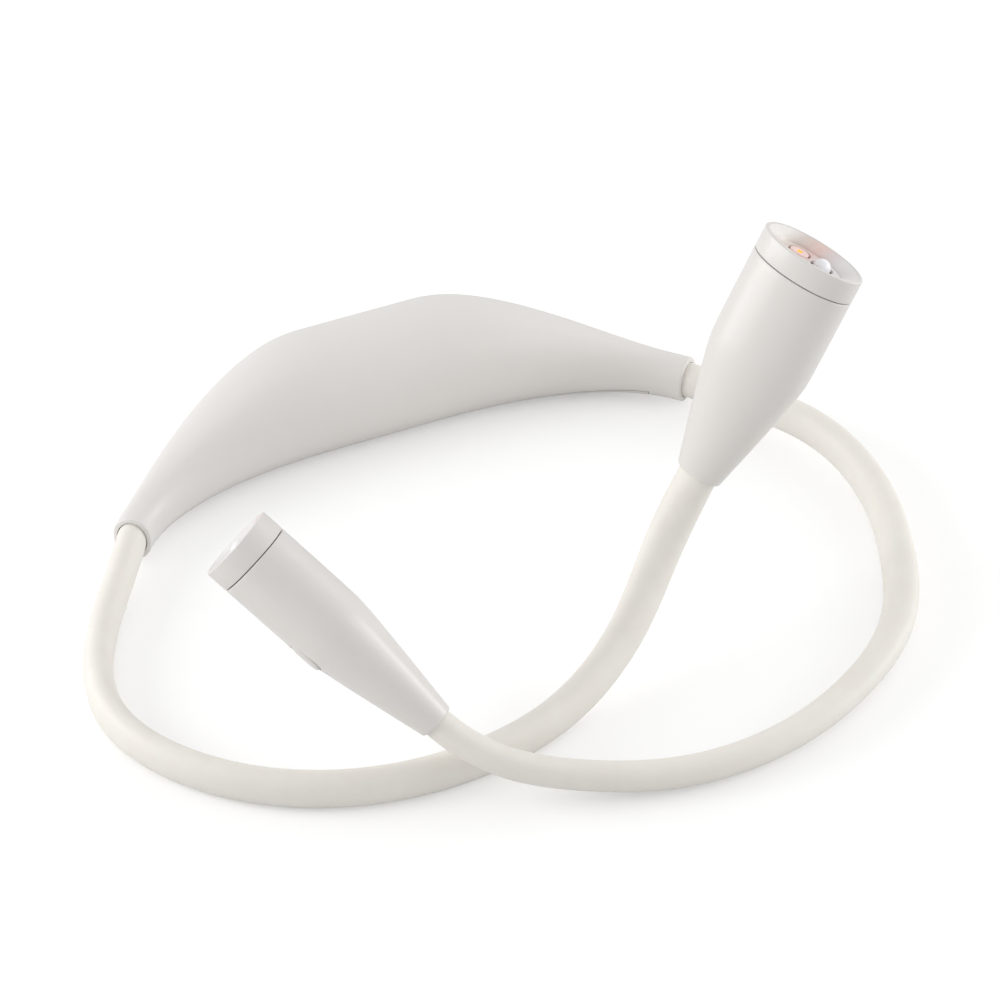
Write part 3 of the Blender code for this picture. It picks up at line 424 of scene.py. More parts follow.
def black_nylon(graph, place):
    sand = graph.noise(place, 1800.0, 2.0)
    return {
        "Base Color": graph.blend(sand, tone(0.02, 0.02, 0.022), tone(0.05, 0.05, 0.052)),
        "Roughness": (0.42 + (sand - 0.5) * 0.2).held(),
        "Normal": grain(graph, sand, 0.00003, 0.3),
    }


BOARD = finish("circuit_board", solder_mask)
CELL = finish("cell_sleeve", shrink_sleeve)
SWITCH = finish("switch_plastic", black_nylon)
print("board, cell and switch finishes ready")

# %% Bowl and lamps
# The bowl's tones across it, with painted light and shade: the warm lamp's rosy glow on one side,
# greyer shade by the white lamp, paler near both ends.
BOWL_PAINTED_GLOW_TONES = [
    (0.00, tone(0.90, 0.88, 0.86)),
    (0.12, tone(0.78, 0.76, 0.765)),
    (0.30, tone(0.80, 0.775, 0.785)),
    (0.45, tone(0.735, 0.635, 0.625)),
    (0.58, tone(0.80, 0.55, 0.50)),
    (0.75, tone(0.67, 0.57, 0.51)),
    (0.89, tone(0.93, 0.90, 0.87)),
]


def glossy_bowl(graph, place):
    across = graph.node("ShaderNodeAttribute", {"attribute_name": "across"}, out=2)
    # This wall colour is painted light and shade, read from the share across the bowl.
    wall = graph.node("ShaderNodeValToRGB", {"stops": BOWL_PAINTED_GLOW_TONES}, {0: across})
    haze = graph.noise(place, 700.0, 3.0)
    return {
        "Base Color": graph.blend(haze.over(0.5, 0.6) * 0.4, wall, tone(0.80, 0.75, 0.72)),
        "Roughness": (0.34 + haze * 0.12).held(),
        "Coat Weight": 0.1,
        "Normal": grain(graph, haze, 0.00001, 0.15),
    }


def lamp_body(graph, place):
    drift = graph.noise(place, 500.0, 2.0)
    return {
        "Base Color": graph.blend(drift, tone(0.60, 0.52, 0.52), tone(0.56, 0.47, 0.46)),
        "Roughness": (0.30 + drift * 0.1).held(),
        "Emission Color": graph.blend(drift, tone(1.0, 0.60, 0.54), tone(1.0, 0.52, 0.46)),
        "Emission Strength": 0.27,
        "Normal": grain(graph, drift, 0.00002, 0.2),
    }


def amber_die(graph, place):
    spark = graph.noise(place, 1500.0, 2.0)
    return {
        "Base Color": graph.blend(spark, tone(0.50, 0.16, 0.01), tone(0.55, 0.22, 0.02)),
        "Roughness": (0.40 + spark * 0.1).held(),
        "Specular IOR Level": 0.15,
        "Emission Color": graph.blend(spark, tone(1.0, 0.30, 0.01), tone(1.0, 0.46, 0.02)),
        "Emission Strength": 1.3,
    }


def milky_dome(graph, place):
    drift = graph.noise(place, 600.0, 2.0)
    return {
        "Base Color": graph.blend(drift, tone(0.95, 0.95, 0.965), tone(0.93, 0.935, 0.96)),
        "Roughness": (0.06 + drift * 0.05).held(),
        "Coat Weight": 0.6,
        "Emission Color": tone(0.95, 0.96, 1.0),
        "Emission Strength": 0.03,
        "Normal": grain(graph, drift, 0.00001, 0.1),
    }


BOWL_WHITE = finish("glossy_white_bowl", glossy_bowl)
LAMP_BODY = finish("warm_lamp_body", lamp_body)
AMBER = finish("glowing_amber_die", amber_die)
DOME_LENS = finish("milky_dome_lens", milky_dome)
print("finishes:", len(FINISHES))

# %% [markdown]
# ## Paths and rings
# Both the housing and the hoses are long bodies that follow a curve. A `Place` is one spot on
# such a curve: its point, the way ahead, and the broad and narrow ways across. `walk` lays
# places end to end, and `Place.ring` draws an oval across the way. An oval with a squareness
# above 2 is a superellipse, an oval with slightly flatter sides.

# %% Places on a path
PATH_STEPS = 240


def eased(value):
    value = min(max(value, 0.0), 1.0)
    return value * value * (3 - 2 * value)


def evenly(first, last, count):
    return [first + (last - first) * i / (count - 1) for i in range(count)]


def oval(angle, squareness=2.0):
    power = 2 / squareness
    c, s = cos(angle), sin(angle)
    return (abs(c) ** power) * (1 if c >= 0 else -1), (abs(s) ** power) * (1 if s >= 0 else -1)


class Place:
    """A spot on a path: its point, the way ahead, and the two ways across."""

    def __init__(self, point, ahead, twist):
        self.point, self.ahead = point, ahead
        side = ahead.cross(UP).normalized()
        rise = side.cross(ahead)
        self.broad = side * cos(radians(twist)) + rise * sin(radians(twist))
        self.narrow = ahead.cross(self.broad)

    def ring(self, half_broad, half_narrow, count, squareness=2.0):
        turns = [oval(2 * pi * i / count, squareness) for i in range(count)]
        return [
            self.point + self.broad * half_broad * x + self.narrow * half_narrow * y
            for x, y in turns
        ]

    def matrix(self):
        turn = Matrix((self.broad, self.narrow, self.ahead)).transposed().to_4x4()
        return Matrix.Translation(self.point) @ turn


def direction(heading, climb):
    flat = cos(radians(climb))
    return Vector(
        (cos(radians(heading)) * flat, sin(radians(heading)) * flat, sin(radians(climb)))
    )


def walk(start, length, heading_of, climb_of, twist_of):
    """Places at equal steps along a path, found by stepping along its direction."""
    places, point = [], start.copy()
    for i in range(PATH_STEPS + 1):
        share, middle = i / PATH_STEPS, (i + 0.5) / PATH_STEPS
        ahead = direction(heading_of(share), climb_of(share))
        places.append(Place(point.copy(), ahead, twist_of(share)))
        point = point + direction(heading_of(middle), climb_of(middle)) * (length / PATH_STEPS)
    return places


def mixed(places, place):
    """The place between two neighbours of a list."""
    low = min(int(place), len(places) - 2)
    part = place - low
    a, b = places[low], places[low + 1]
    between = Place(a.point.lerp(b.point, part), a.ahead.lerp(b.ahead, part).normalized(), 90)
    between.broad = a.broad.lerp(b.broad, part).normalized()
    between.narrow = between.ahead.cross(between.broad).normalized()
    return between


print("path tools ready")

# %% [markdown]
# ## Skins
# Most pieces are skins: rings of points, one after another, joined by faces. `skin` also sets
# smooth shading, and marks the edges that turn sharply so that they stay crisp. `carve` cuts a
# skin with other solids and keeps the result as a plain mesh.

# %% Skins and cuts
SMOOTH_ANGLE = radians(32)


def shaded(mesh, angle=SMOOTH_ANGLE):
    mesh.shade_smooth()
    mesh.set_sharp_from_angle(angle=angle)


def mesh_piece(name, points, faces, material):
    mesh = bpy.data.meshes.new(name)
    mesh.from_pydata([tuple(p) for p in points], [], faces)
    work = bmesh.new()
    work.from_mesh(mesh)
    bmesh.ops.remove_doubles(work, verts=work.verts, dist=1e-7)
    bmesh.ops.recalc_face_normals(work, faces=work.faces)
    work.to_mesh(mesh)
    work.free()
    shaded(mesh)
    mesh.materials.append(material)
    return stand(name, mesh)


def skin(name, rings, material, closed=False):
    """A skin through rings, capped at both ends or closed on itself."""
    count, total = len(rings[0]), len(rings)
    points = [point for ring in rings for point in ring]
    faces = []
    for r in range(total if closed else total - 1):
        low, high = r * count, ((r + 1) % total) * count
        for i in range(count):
            j = (i + 1) % count
            faces.append((low + i, low + j, high + j, high + i))
    if not closed:
        faces.append(tuple(reversed(range(count))))
        faces.append(tuple(range((total - 1) * count, total * count)))
    return mesh_piece(name, points, faces, material)


def turned_up(name, profile, count, squareness, material, closed=False):
    """A skin along Z through ovals given as (height, half width, half depth)."""
    turns = [oval(2 * pi * i / count, squareness) for i in range(count)]
    rings = [[Vector((x * a, y * b, height)) for x, y in turns] for height, a, b in profile]
    return skin(name, rings, material, closed)


def turned_round(name, profile, count, material):
    """A round skin along Z, given as (height, radius)."""
    return turned_up(name, [(height, r, r) for height, r in profile], count, 2, material)


def carve(piece, *tools, operation="DIFFERENCE"):
    for tool in tools:
        step = piece.modifiers.new("cut", "BOOLEAN")
        step.operation, step.solver, step.object = operation, "EXACT", tool
    graph = bpy.context.evaluated_depsgraph_get()
    mesh = bpy.data.meshes.new_from_object(piece.evaluated_get(graph))
    piece.modifiers.clear()
    piece.data = mesh
    for tool in tools:
        bpy.data.objects.remove(tool)
    shaded(mesh)
    return piece


def put(piece, matrix):
    piece.data.transform(matrix)
    piece.data.update()
    return piece


def dress(piece, body, slot, *nodes):
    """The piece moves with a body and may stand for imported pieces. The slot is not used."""
    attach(piece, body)
    if nodes:
        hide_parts(*nodes)


print("skin tools ready")

# %% [markdown]
# ## The housing's form
# The housing is one smooth body. Its section is an oval 35 mm tall and 34 mm deep in the
# middle, and it shrinks towards a narrow sleeve at each end, from which a hose comes out. The
# section's inner face stays on the spine, so the body swells outwards, away from the neck.

# %% Sections of the housing
def spine_places():
    """Places from the left end of the spine to its right end."""
    middle = Vector((0, -(HOUSING_DEPTH - SLEEVE_DEPTH) / 2, 0))

    def turn(share):
        return -SPINE_END_TURN * share**SPINE_TURN_POWER

    right_half = walk(middle, SPINE_LENGTH / 2, turn, lambda share: 0, lambda share: 90)
    left_half = []
    for place in reversed(right_half[1:]):
        point = Vector((-place.point.x, place.point.y, place.point.z))
        left_half.append(Place(point, Vector((place.ahead.x, -place.ahead.y, 0)), 90))
    return left_half + right_half


SPINE = spine_places()


def fullness(share):
    return 1 - eased((abs(share) - TAPER_START_SHARE) / (TAPER_END_SHARE - TAPER_START_SHARE))


def housing_size(share):
    """The section's height, depth and the height of its lowest point."""
    full = fullness(share)
    height = SLEEVE_HEIGHT + (HOUSING_HEIGHT - SLEEVE_HEIGHT) * full
    depth = SLEEVE_DEPTH + (HOUSING_DEPTH - SLEEVE_DEPTH) * full
    return height, depth, SLEEVE_LIFT * (1 - full) - BASE_FLAT_CUT * full


def housing_at(share):
    """The place at the middle of the housing's section."""
    place = mixed(SPINE, (share + 1) / 2 * (len(SPINE) - 1))
    height, depth, bottom = housing_size(share)
    away = place.ahead.cross(UP) * -1
    middle = place.point + away * (depth - SLEEVE_DEPTH) / 2 + UP * (bottom + height / 2)
    return Place(middle, place.ahead, 90)


def housing_ring(share, inset, count):
    height, depth, _ = housing_size(share)
    place = housing_at(share)
    return place.ring(height / 2 - inset, depth / 2 - inset, count, HOUSING_SQUARENESS)


def spine_share(distance):
    """A distance along the spine as a share of one half."""
    return distance / (SPINE_LENGTH / 2)


middle_size = housing_size(0)
print("middle section", [round(value * 1000, 1) for value in middle_size], "mm")

# %% [markdown]
# ## The housing's skin
# On the real light the housing is two mouldings: a large shell, and a flat cover under it that
# meets the shell along a thin seam. Both are cut here from the same smooth body, so that their
# faces run on across the seam. The body could be subdivided from a coarse cage, but drawing it
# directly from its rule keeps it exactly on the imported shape. Its ends are rounded over, its
# underside is flat, and the shell is hollow, because the cell and the board live inside. One
# cutter makes the hollow together with the oval mouth of each sleeve. The mouth is slightly
# flared, which shows as a thin dark line round the hose, so the cutter widens at its ends.

# %% Body, seam and hollow
HOUSING_POINTS, HOUSING_STATIONS, CROWDING = 96, 121, 1.1
RIM_ROUND, RIM_STEPS = 0.0006, 5
CUT_OVERRUN = 0.003
CAVITY_END_SHARE, CORE_BORE = 0.855, 0.0023
MOUTH_GAP, FLARE, FLARE_DEPTH = 0.00014, 0.00012, 0.0005


def rim_shares():
    """Stations over the rounded rim, as (share, inset) from the flat end inwards."""
    rows = []
    for i in range(RIM_STEPS + 1):
        angle = pi / 2 * i / RIM_STEPS
        distance, inset = RIM_ROUND * (1 - sin(angle)), RIM_ROUND * (1 - cos(angle))
        rows.append((1 - spine_share(distance), inset))
    return rows


def housing_body(name, material):
    """The whole housing as one solid, with more rings towards its sleeves."""
    rim = rim_shares()
    last = 1 - spine_share(RIM_ROUND)
    crowded = [sin(CROWDING * spot) / sin(CROWDING) for spot in evenly(-1, 1, HOUSING_STATIONS)]
    rows = [(-share, inset) for share, inset in reversed(rim)]
    rows += [(last * share, 0.0) for share in crowded[1:-1]]
    rows += rim
    rings = []
    for share, inset in rows:
        ring = housing_ring(share, inset, HOUSING_POINTS)
        rings.append([Vector((p.x, p.y, max(p.z, 0.0))) for p in ring])
    return skin(name, rings, material)


def cover_space(end, top_shift):
    """The space under the parting line, as long as the cover and wider than the housing."""
    rings = []
    for share in evenly(-end, end, 81):
        place = housing_at(share)
        place.point.z = 0
        _, depth, bottom = housing_size(share)
        away, reach = place.ahead.cross(UP), depth / 2 + CUT_OVERRUN
        top = max(bottom, 0) + COVER_DEPTH + top_shift
        corners = ((-1, -CUT_OVERRUN), (1, -CUT_OVERRUN), (1, top), (-1, top))
        rings.append([place.point + away * side * reach + UP * level for side, level in corners])
    return skin("cover_space", rings, WHITE)


def mouth_rings(side, count):
    """Rings of the way for one hose, from the hollow's end to just past the sleeve's end."""
    deep = 1 - spine_share(SOCKET_DEPTH + FIT_GAP)
    half = (HOSE_BROAD / 2 + MOUTH_GAP, HOSE_NARROW / 2 + MOUTH_GAP)
    rings = [
        housing_at(side * share).ring(CORE_BORE, CORE_BORE, count)
        for share in evenly(CAVITY_END_SHARE, deep, 3)
    ]
    shallow = 1 - spine_share(FLARE_DEPTH)
    rings += [housing_at(side * share).ring(*half, count) for share in evenly(deep, shallow, 7)]
    end = housing_at(side)
    for ahead, wider in ((0.0, FLARE), (CUT_OVERRUN, FLARE * 4)):
        place = Place(end.point + end.ahead * side * ahead, end.ahead, 90)
        rings.append(place.ring(half[0] + wider, half[1] + wider, count))
    return rings


def hollow(count=54):
    """The inside of the housing and the ways of both hoses, as one solid."""
    shares = evenly(-CAVITY_END_SHARE, CAVITY_END_SHARE, 41)
    rings = list(reversed(mouth_rings(-1, count)))
    rings += [housing_ring(share, HOUSING_WALL, count) for share in shares]
    return skin("hollow", rings + mouth_rings(1, count), WHITE)


shell = housing_body("housing_skin", WHITE)
cover = housing_body("cover_skin", COVER_WHITE)
carve(shell, cover_space(COVER_END_SHARE, SEAM_GAP))
carve(cover, cover_space(COVER_END_SHARE - spine_share(SEAM_GAP), 0), operation="INTERSECT")
carve(shell, hollow())
carve(cover, hollow())
print("housing shell", len(shell.data.polygons), "faces, cover", len(cover.data.polygons))

# %% [markdown]
# ## Openings in the housing
# The charging port and a small charge light sit in the back wall, and four screws go in from
# below.

# %% Port, charge light and screw seats
PORT_WIDTH, PORT_HEIGHT, PORT_PLACE = 0.0090, 0.0034, 0.006
PIPE_DIAMETER, PIPE_SPACING = 0.0024, 0.010
SCREW_SHARES = (-0.66, -0.46, 0.46, 0.66)
SCREW_HEAD, SCREW_HEAD_HEIGHT, SCREW_LENGTH = 0.0038, 0.0014, 0.0070
BACK_CUT_DEPTH, SHANK_HOLE, SHANK_HOLE_DEPTH = 0.008, 0.0013, 0.006


def pill_ring(length, width, level, count=24):
    """A ring with round ends, long along X and standing at this height."""
    reach, radius, ring = (length - width) / 2, width / 2, []
    for side in (1, -1):
        for i in range(count // 2 + 1):
            angle = pi * i / (count // 2) - pi / 2
            x, y = reach + radius * cos(angle), radius * sin(angle)
            ring.append(Vector((side * x, side * y, level)))
    return ring


port_height = housing_at(0).point.z
back = HOUSING_DEPTH / 2
port_cut = skin(
    "port_cut",
    [
        pill_ring(PORT_WIDTH + 2 * grow, PORT_HEIGHT + 2 * grow, level)
        for level, grow in ((-BACK_CUT_DEPTH, FIT_GAP), (-0.0006, FIT_GAP), (0.0004, 0.0009))
    ],
    WHITE,
)
out_of_wall = Matrix.Rotation(-pi / 2, 4, "X")
put(port_cut, Matrix.Translation((PORT_PLACE, back, port_height)) @ out_of_wall)
pipe_place = Matrix.Translation((PORT_PLACE - PIPE_SPACING, back, port_height)) @ out_of_wall
pipe_hole = PIPE_DIAMETER / 2 + FIT_GAP
pipe_rows = [(-BACK_CUT_DEPTH, pipe_hole), (0.002, pipe_hole)]
pipe_cut = turned_round("pipe_cut", pipe_rows, 32, WHITE)
carve(shell, port_cut, put(pipe_cut, pipe_place))


def screw_seat(share):
    """The place of a screw's head, on the flat underside."""
    point = housing_at(share).point
    return Vector((point.x, point.y, max(housing_size(share)[2], 0)))


seat = SCREW_HEAD / 2 + FIT_GAP
seat_profile = [
    (-CUT_OVERRUN, seat * 1.2),
    (0.0, seat * 1.06),
    (0.0002, seat),
    (SCREW_HEAD_HEIGHT + FIT_GAP, seat),
    (SCREW_HEAD_HEIGHT + FIT_GAP, SHANK_HOLE),
    (SHANK_HOLE_DEPTH, SHANK_HOLE),
]
for share in SCREW_SHARES:
    cutter = turned_round("seat", seat_profile, 32, WHITE)
    carve(cover, put(cutter, Matrix.Translation(screw_seat(share))))
dress(shell, "neckband", "white_plastic", "housing_shell")
dress(cover, "neckband", "white_plastic", "under_cover")
print("openings cut:", len(shell.data.polygons), "faces in the shell")

# %% [markdown]
# ## Screws by Geometry Nodes
# Four equal screws are a repeat, so a geometry tree places them. Its input is one point for
# each seat, and it instances a single modelled screw on every point. Real screws stop at
# whatever angle they tighten to, so each one gets its own turn from a seeded random value.

# %% Tools for geometry trees
class Growth(Graph):
    """A geometry tree with named inputs."""

    def __init__(self, name, inputs):
        tree = bpy.data.node_groups.new(name, "GeometryNodeTree")
        super().__init__(tree)
        face = tree.interface
        face.new_socket("Geometry", in_out="INPUT", socket_type="NodeSocketGeometry")
        for label, kind in inputs.items():
            face.new_socket(label, in_out="INPUT", socket_type="NodeSocket" + kind)
        face.new_socket("Geometry", in_out="OUTPUT", socket_type="NodeSocketGeometry")
        self.start = tree.nodes.new("NodeGroupInput")

    def input(self, label):
        return Wire(self, self.start.outputs[label])

    def end(self, geometry):
        geometry = self.node("GeometryNodeRealizeInstances", None, {"Geometry": geometry})
        values = {"Geometry": geometry, "Material": self.input("Material")}
        finished = self.node("GeometryNodeSetMaterial", None, values)
        last = self.tree.nodes.new("NodeGroupOutput")
        self.tree.links.new(finished.socket, last.inputs[0])


def grow(name, tree, points, values, ways=None, girths=None):
    """Runs a geometry tree over a line of points, and returns the result as a plain mesh."""
    mesh = bpy.data.meshes.new(name)
    mesh.from_pydata([tuple(p) for p in points], [(i, i + 1) for i in range(len(points) - 1)], [])
    if ways:
        field = mesh.attributes.new("broad_way", "FLOAT_VECTOR", "POINT")
        field.data.foreach_set("vector", [value for way in ways for value in way])
        field = mesh.attributes.new("girth", "FLOAT", "POINT")
        field.data.foreach_set("value", girths)
    piece = stand(name, mesh)
    step = piece.modifiers.new("grow", "NODES")
    step.node_group = tree.tree
    for item in tree.tree.interface.items_tree:
        if item.in_out == "INPUT" and item.name in values:
            step[item.identifier] = values[item.name]
    graph = bpy.context.evaluated_depsgraph_get()
    result = bpy.data.meshes.new_from_object(piece.evaluated_get(graph))
    piece.modifiers.clear()
    piece.data = result
    return piece


print("geometry tree tools ready")

# %% A screw, and the tree that sets four of them
screws_tree = Growth("set_screws", {"Screw": "Object", "Seed": "Int", "Material": "Material"})
model = screws_tree.node("GeometryNodeObjectInfo", None, {"Object": screws_tree.input("Screw")}, out=4)
turn_values = {0: (0.0, 0.0, 0.0), 1: (0.0, 0.0, 2 * pi), "Seed": screws_tree.input("Seed")}
turns = screws_tree.node("FunctionNodeRandomValue", {"data_type": "FLOAT_VECTOR"}, turn_values)
spots = screws_tree.node("GeometryNodeMeshToPoints", None, {"Mesh": screws_tree.input("Geometry")})
set_screws = screws_tree.node(
    "GeometryNodeInstanceOnPoints", None, {"Points": spots, "Instance": model, "Rotation": turns}
)
screws_tree.end(set_screws)

head, shank = SCREW_HEAD / 2, 0.0010
screw_rows = [(0.00035, 0.0), (0.0003, head * 0.7), (0.00055, head * 0.95), (0.0008, head)]
screw_rows += [(SCREW_HEAD_HEIGHT, head), (SCREW_HEAD_HEIGHT, shank)]
thread = [0.0018 + 0.0004 * i for i in range(16)]
for height in thread:
    screw_rows += [(height, shank * 0.86), (height + 0.0002, shank)]
screw_rows += [(SCREW_HEAD_HEIGHT + SCREW_LENGTH, shank * 0.3)]
screw = turned_round("screw", [(h, max(r, 0.00002)) for h, r in screw_rows], 28, WHITE)
for angle in (0, pi / 2):
    blade = [(-0.001, 0.0012, 0.00028), (0.0007, 0.0010, 0.00024), (0.0010, 0.0004, 0.0002)]
    slot = turned_up("slot", blade, 4, 2, WHITE)
    carve(screw, put(slot, Matrix.Rotation(angle, 4, "Z")))
seats = [screw_seat(share) for share in SCREW_SHARES]
values = {"Screw": screw, "Seed": 5, "Material": STEEL}
screws = grow("cover_screws", screws_tree, seats, values)
shaded(screws.data)
bpy.data.objects.remove(screw)
nodes = [f"cover_screw_{number}" for number in (1, 2, 3, 4)]
dress(screws, "neckband", "screw_steel", *nodes)
print("four screws:", len(screws.data.polygons), "faces")

# %% [markdown]
# ## The hoses
# Each arm is a bendable steel core in an oval silicone sleeve. Its shape follows a rule, a
# fixed oval carried along the arm's course, so a geometry tree makes it: the course becomes a
# curve, each point carries its own broad way, and an oval profile is swept along it. A plain
# curve with a bevel would choose its own twist, and the oval's broad side would drift. Three
# lengths make up each hose, one round each of the imported model's three joints, and they meet
# halfway between joints.

# %% Courses of the two arms
def course_value(rows, share, column):
    """A smooth value at this share of a course, from the rows round it."""
    index = max(i for i, row in enumerate(rows) if row[0] <= share or i == 0)
    index = min(index, len(rows) - 2)
    first, last = rows[index], rows[index + 1]
    step = last[0] - first[0]
    t = (share - first[0]) / step
    before, after = rows[max(index - 1, 0)], rows[min(index + 2, len(rows) - 1)]
    slope_in = (last[column] - before[column]) / (last[0] - before[0]) * step
    slope_out = (after[column] - first[column]) / (after[0] - first[0]) * step
    return (
        first[column] * (2 * t**3 - 3 * t**2 + 1)
        + slope_in * (t**3 - 2 * t**2 + t)
        + last[column] * (3 * t**2 - 2 * t**3)
        + slope_out * (t**3 - t**2)
    )


class Arm:
    """One hose: its name, its side and the places along it."""

    def __init__(self, name, side, rows):
        self.name, self.side = name, side
        columns = [lambda share, c=c: course_value(rows, share, c) for c in (1, 2, 3)]
        self.places = walk(housing_at(side).point, ARM_LENGTH, *columns)

    def at(self, distance):
        """The place at this distance from the sleeve's mouth, into either socket too."""
        if distance < 0:
            inner = housing_at(self.side * (1 + spine_share(distance)))
            return Place(inner.point, inner.ahead * self.side, 90)
        if distance > ARM_LENGTH:
            last = self.places[-1]
            past = mixed(self.places, len(self.places) - 1)
            past.point = last.point + last.ahead * (distance - ARM_LENGTH)
            return past
        return mixed(self.places, distance / ARM_LENGTH * (len(self.places) - 1))


ARMS = [Arm("left", -1, LEFT_COURSE), Arm("right", 1, RIGHT_COURSE)]
for arm in ARMS:
    print(arm.name, "head starts at", [round(v, 4) for v in arm.at(ARM_LENGTH).point])

# %% The tree that sweeps an oval along a course
inputs = {"Broad": "Float", "Narrow": "Float", "Points": "Int", "Material": "Material"}
sweep = Growth("sweep_oval", inputs)
line = sweep.node("GeometryNodeMeshToCurve", None, {"Mesh": sweep.input("Geometry")})
girth, way = [
    sweep.node("GeometryNodeInputNamedAttribute", {"data_type": kind}, {"Name": label})
    for label, kind in (("girth", "FLOAT"), ("broad_way", "FLOAT_VECTOR"))
]
normals = {"Curve": line, "Normal": way}
course = sweep.node("GeometryNodeSetCurveNormal", {"mode": "FREE"}, normals)
circle_values = {"Resolution": sweep.input("Points"), "Radius": 0.5}
circle = sweep.node("GeometryNodeCurvePrimitiveCircle", None, circle_values)
size_values = {0: sweep.input("Broad"), 1: sweep.input("Narrow"), 2: 1.0}
size = sweep.node("ShaderNodeCombineXYZ", None, size_values)
profile = sweep.node("GeometryNodeTransform", None, {"Geometry": circle, "Scale": size})
parts = {"Curve": course, "Profile Curve": profile, "Scale": girth, "Fill Caps": True}
tube = sweep.node("GeometryNodeCurveToMesh", None, parts)
sweep.end(tube)
print("sweep tree:", len(sweep.tree.nodes), "nodes")

# %% Lay the hoses and their cores
HOSE_STEP, CORE_DIAMETER, TUCK = 0.0015, 0.0038, 0.002
CORE_PAST_SOCKET, CORE_IN_HEAD, MID_BEND = 0.0046, 0.0155, 0.050
joint_places = {"root": FLEX_LENGTH / 2, "mid": ARM_LENGTH * MID_JOINT_SHARE}
joint_places["neck"] = ARM_LENGTH - FLEX_LENGTH / 2
bend_lengths = {"root": FLEX_LENGTH, "mid": MID_BEND, "neck": FLEX_LENGTH}


def on_step(distance):
    """The nearest whole step, so that neighbouring lengths share a ring."""
    return round(distance / HOSE_STEP) * HOSE_STEP


lower_middle = on_step((joint_places["root"] + joint_places["mid"]) / 2)
upper_middle = on_step((joint_places["mid"] + joint_places["neck"]) / 2)
hose_ends = (-SOCKET_DEPTH, ARM_LENGTH + SOCKET_DEPTH - FIT_GAP)
core_tail = -(1 - CAVITY_END_SHARE) * SPINE_LENGTH / 2 - CORE_PAST_SOCKET
core_ends = (on_step(core_tail), ARM_LENGTH + CORE_IN_HEAD)
STRETCHES = (
    ("root", "neckband", "lower_arm", None, lower_middle),
    ("mid", "lower_arm", "upper_arm", lower_middle, upper_middle),
    ("neck", "upper_arm", "head", upper_middle, None),
)
REPLACED = {
    "root": ("root_flex", "lower_hose"),
    "mid": ("mid_flex", "upper_hose"),
    "neck": ("neck_flex",),
}


def laid(name, arm, first, last, ends, size, points, material):
    """An oval tube along an arm. Where it meets its neighbour it runs on a step and tucks in."""
    low = ends[0] if first is None else first - HOSE_STEP
    high = ends[1] if last is None else last + HOSE_STEP
    steps = int((high - low) / HOSE_STEP - 0.1)
    marks = [low + HOSE_STEP * i for i in range(steps + 1)] + [high]
    girths = [1.0] * len(marks)
    girths[0] -= 0 if first is None else TUCK
    girths[-1] -= 0 if last is None else TUCK
    places = [arm.at(mark) for mark in marks]
    values = {"Broad": size[0], "Narrow": size[1], "Points": points, "Material": material}
    ways = [place.broad for place in places]
    tube = grow(name, sweep, [place.point for place in places], values, ways, girths)
    shaded(tube.data, radians(50))
    return tube


for arm in ARMS:
    for joint, near, far, first, last in STRETCHES:
        start = arm.at(joint_places[joint] - bend_lengths[joint] / 2).point
        end = arm.at(joint_places[joint] + bend_lengths[joint] / 2).point
        name, size = f"{arm.name}_{joint}", (HOSE_BROAD, HOSE_NARROW)
        hose = laid(f"{name}_hose_skin", arm, first, last, hose_ends, size, 64, SILICONE)
        size = (CORE_DIAMETER, CORE_DIAMETER)
        core = laid(f"{name}_core_coil", arm, first, last, core_ends, size, 16, COIL)
        parts = REPLACED[joint]
        cores = [part.replace("flex", "core").replace("hose", "core") for part in parts]
        for piece, slot, names in ((hose, "cream_silicone", parts), (core, "core_steel", cores)):
            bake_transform(piece)
            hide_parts(*[f"{arm.name}_{part}" for part in names])
    print(arm.name, "hose laid in three lengths")

# %% [markdown]
# ## The lamp heads
# A head is an oval shell that widens from the neck to full width with a rounded shoulder, then
# runs straight to a bezel ring. Everything on a head is drawn upright, with its neck at the
# origin and its mouth up, and then put at the end of its arm.

# %% The head's outside and its shell
NECK_SOCKET, NECK_BULKHEAD, NECK_ROUND = 0.009, 0.003, 0.0006
SHOULDER_SHARE = 0.08
BUTTON_PLACE, BUTTON_LENGTH, BUTTON_WIDTH, BUTTON_PROUD = 0.0365, 0.0094, 0.0062, 0.0003
HEAD_POINTS = 96
SEAM = HEAD_LENGTH - BEZEL_LENGTH
LIP_ROUND = 0.00018


def rounded_fall(rest):
    return (sqrt(rest**2 + SHOULDER_SHARE**2) + rest) / 2


def head_half(height, inset=0.0):
    """Half the broad and narrow sizes of the head at a height above its neck."""
    fall = rounded_fall(1 - height / HEAD_TAPER_LENGTH) / rounded_fall(1)
    full = 1 - fall**HEAD_TAPER_POWER
    broad = NECK_BROAD + (HEAD_BROAD - NECK_BROAD) * full
    narrow = NECK_NARROW + (HEAD_NARROW - NECK_NARROW) * full
    return broad / 2 - inset, narrow / 2 - inset


def round_over(height, way, radius, steps=4):
    """Rows over a rounded edge: (height, inset), from the side round to the end."""
    rows = []
    for i in range(steps + 1):
        angle = pi / 2 * i / steps
        rows.append((height - way * radius * (1 - sin(angle)), radius * (1 - cos(angle))))
    return rows


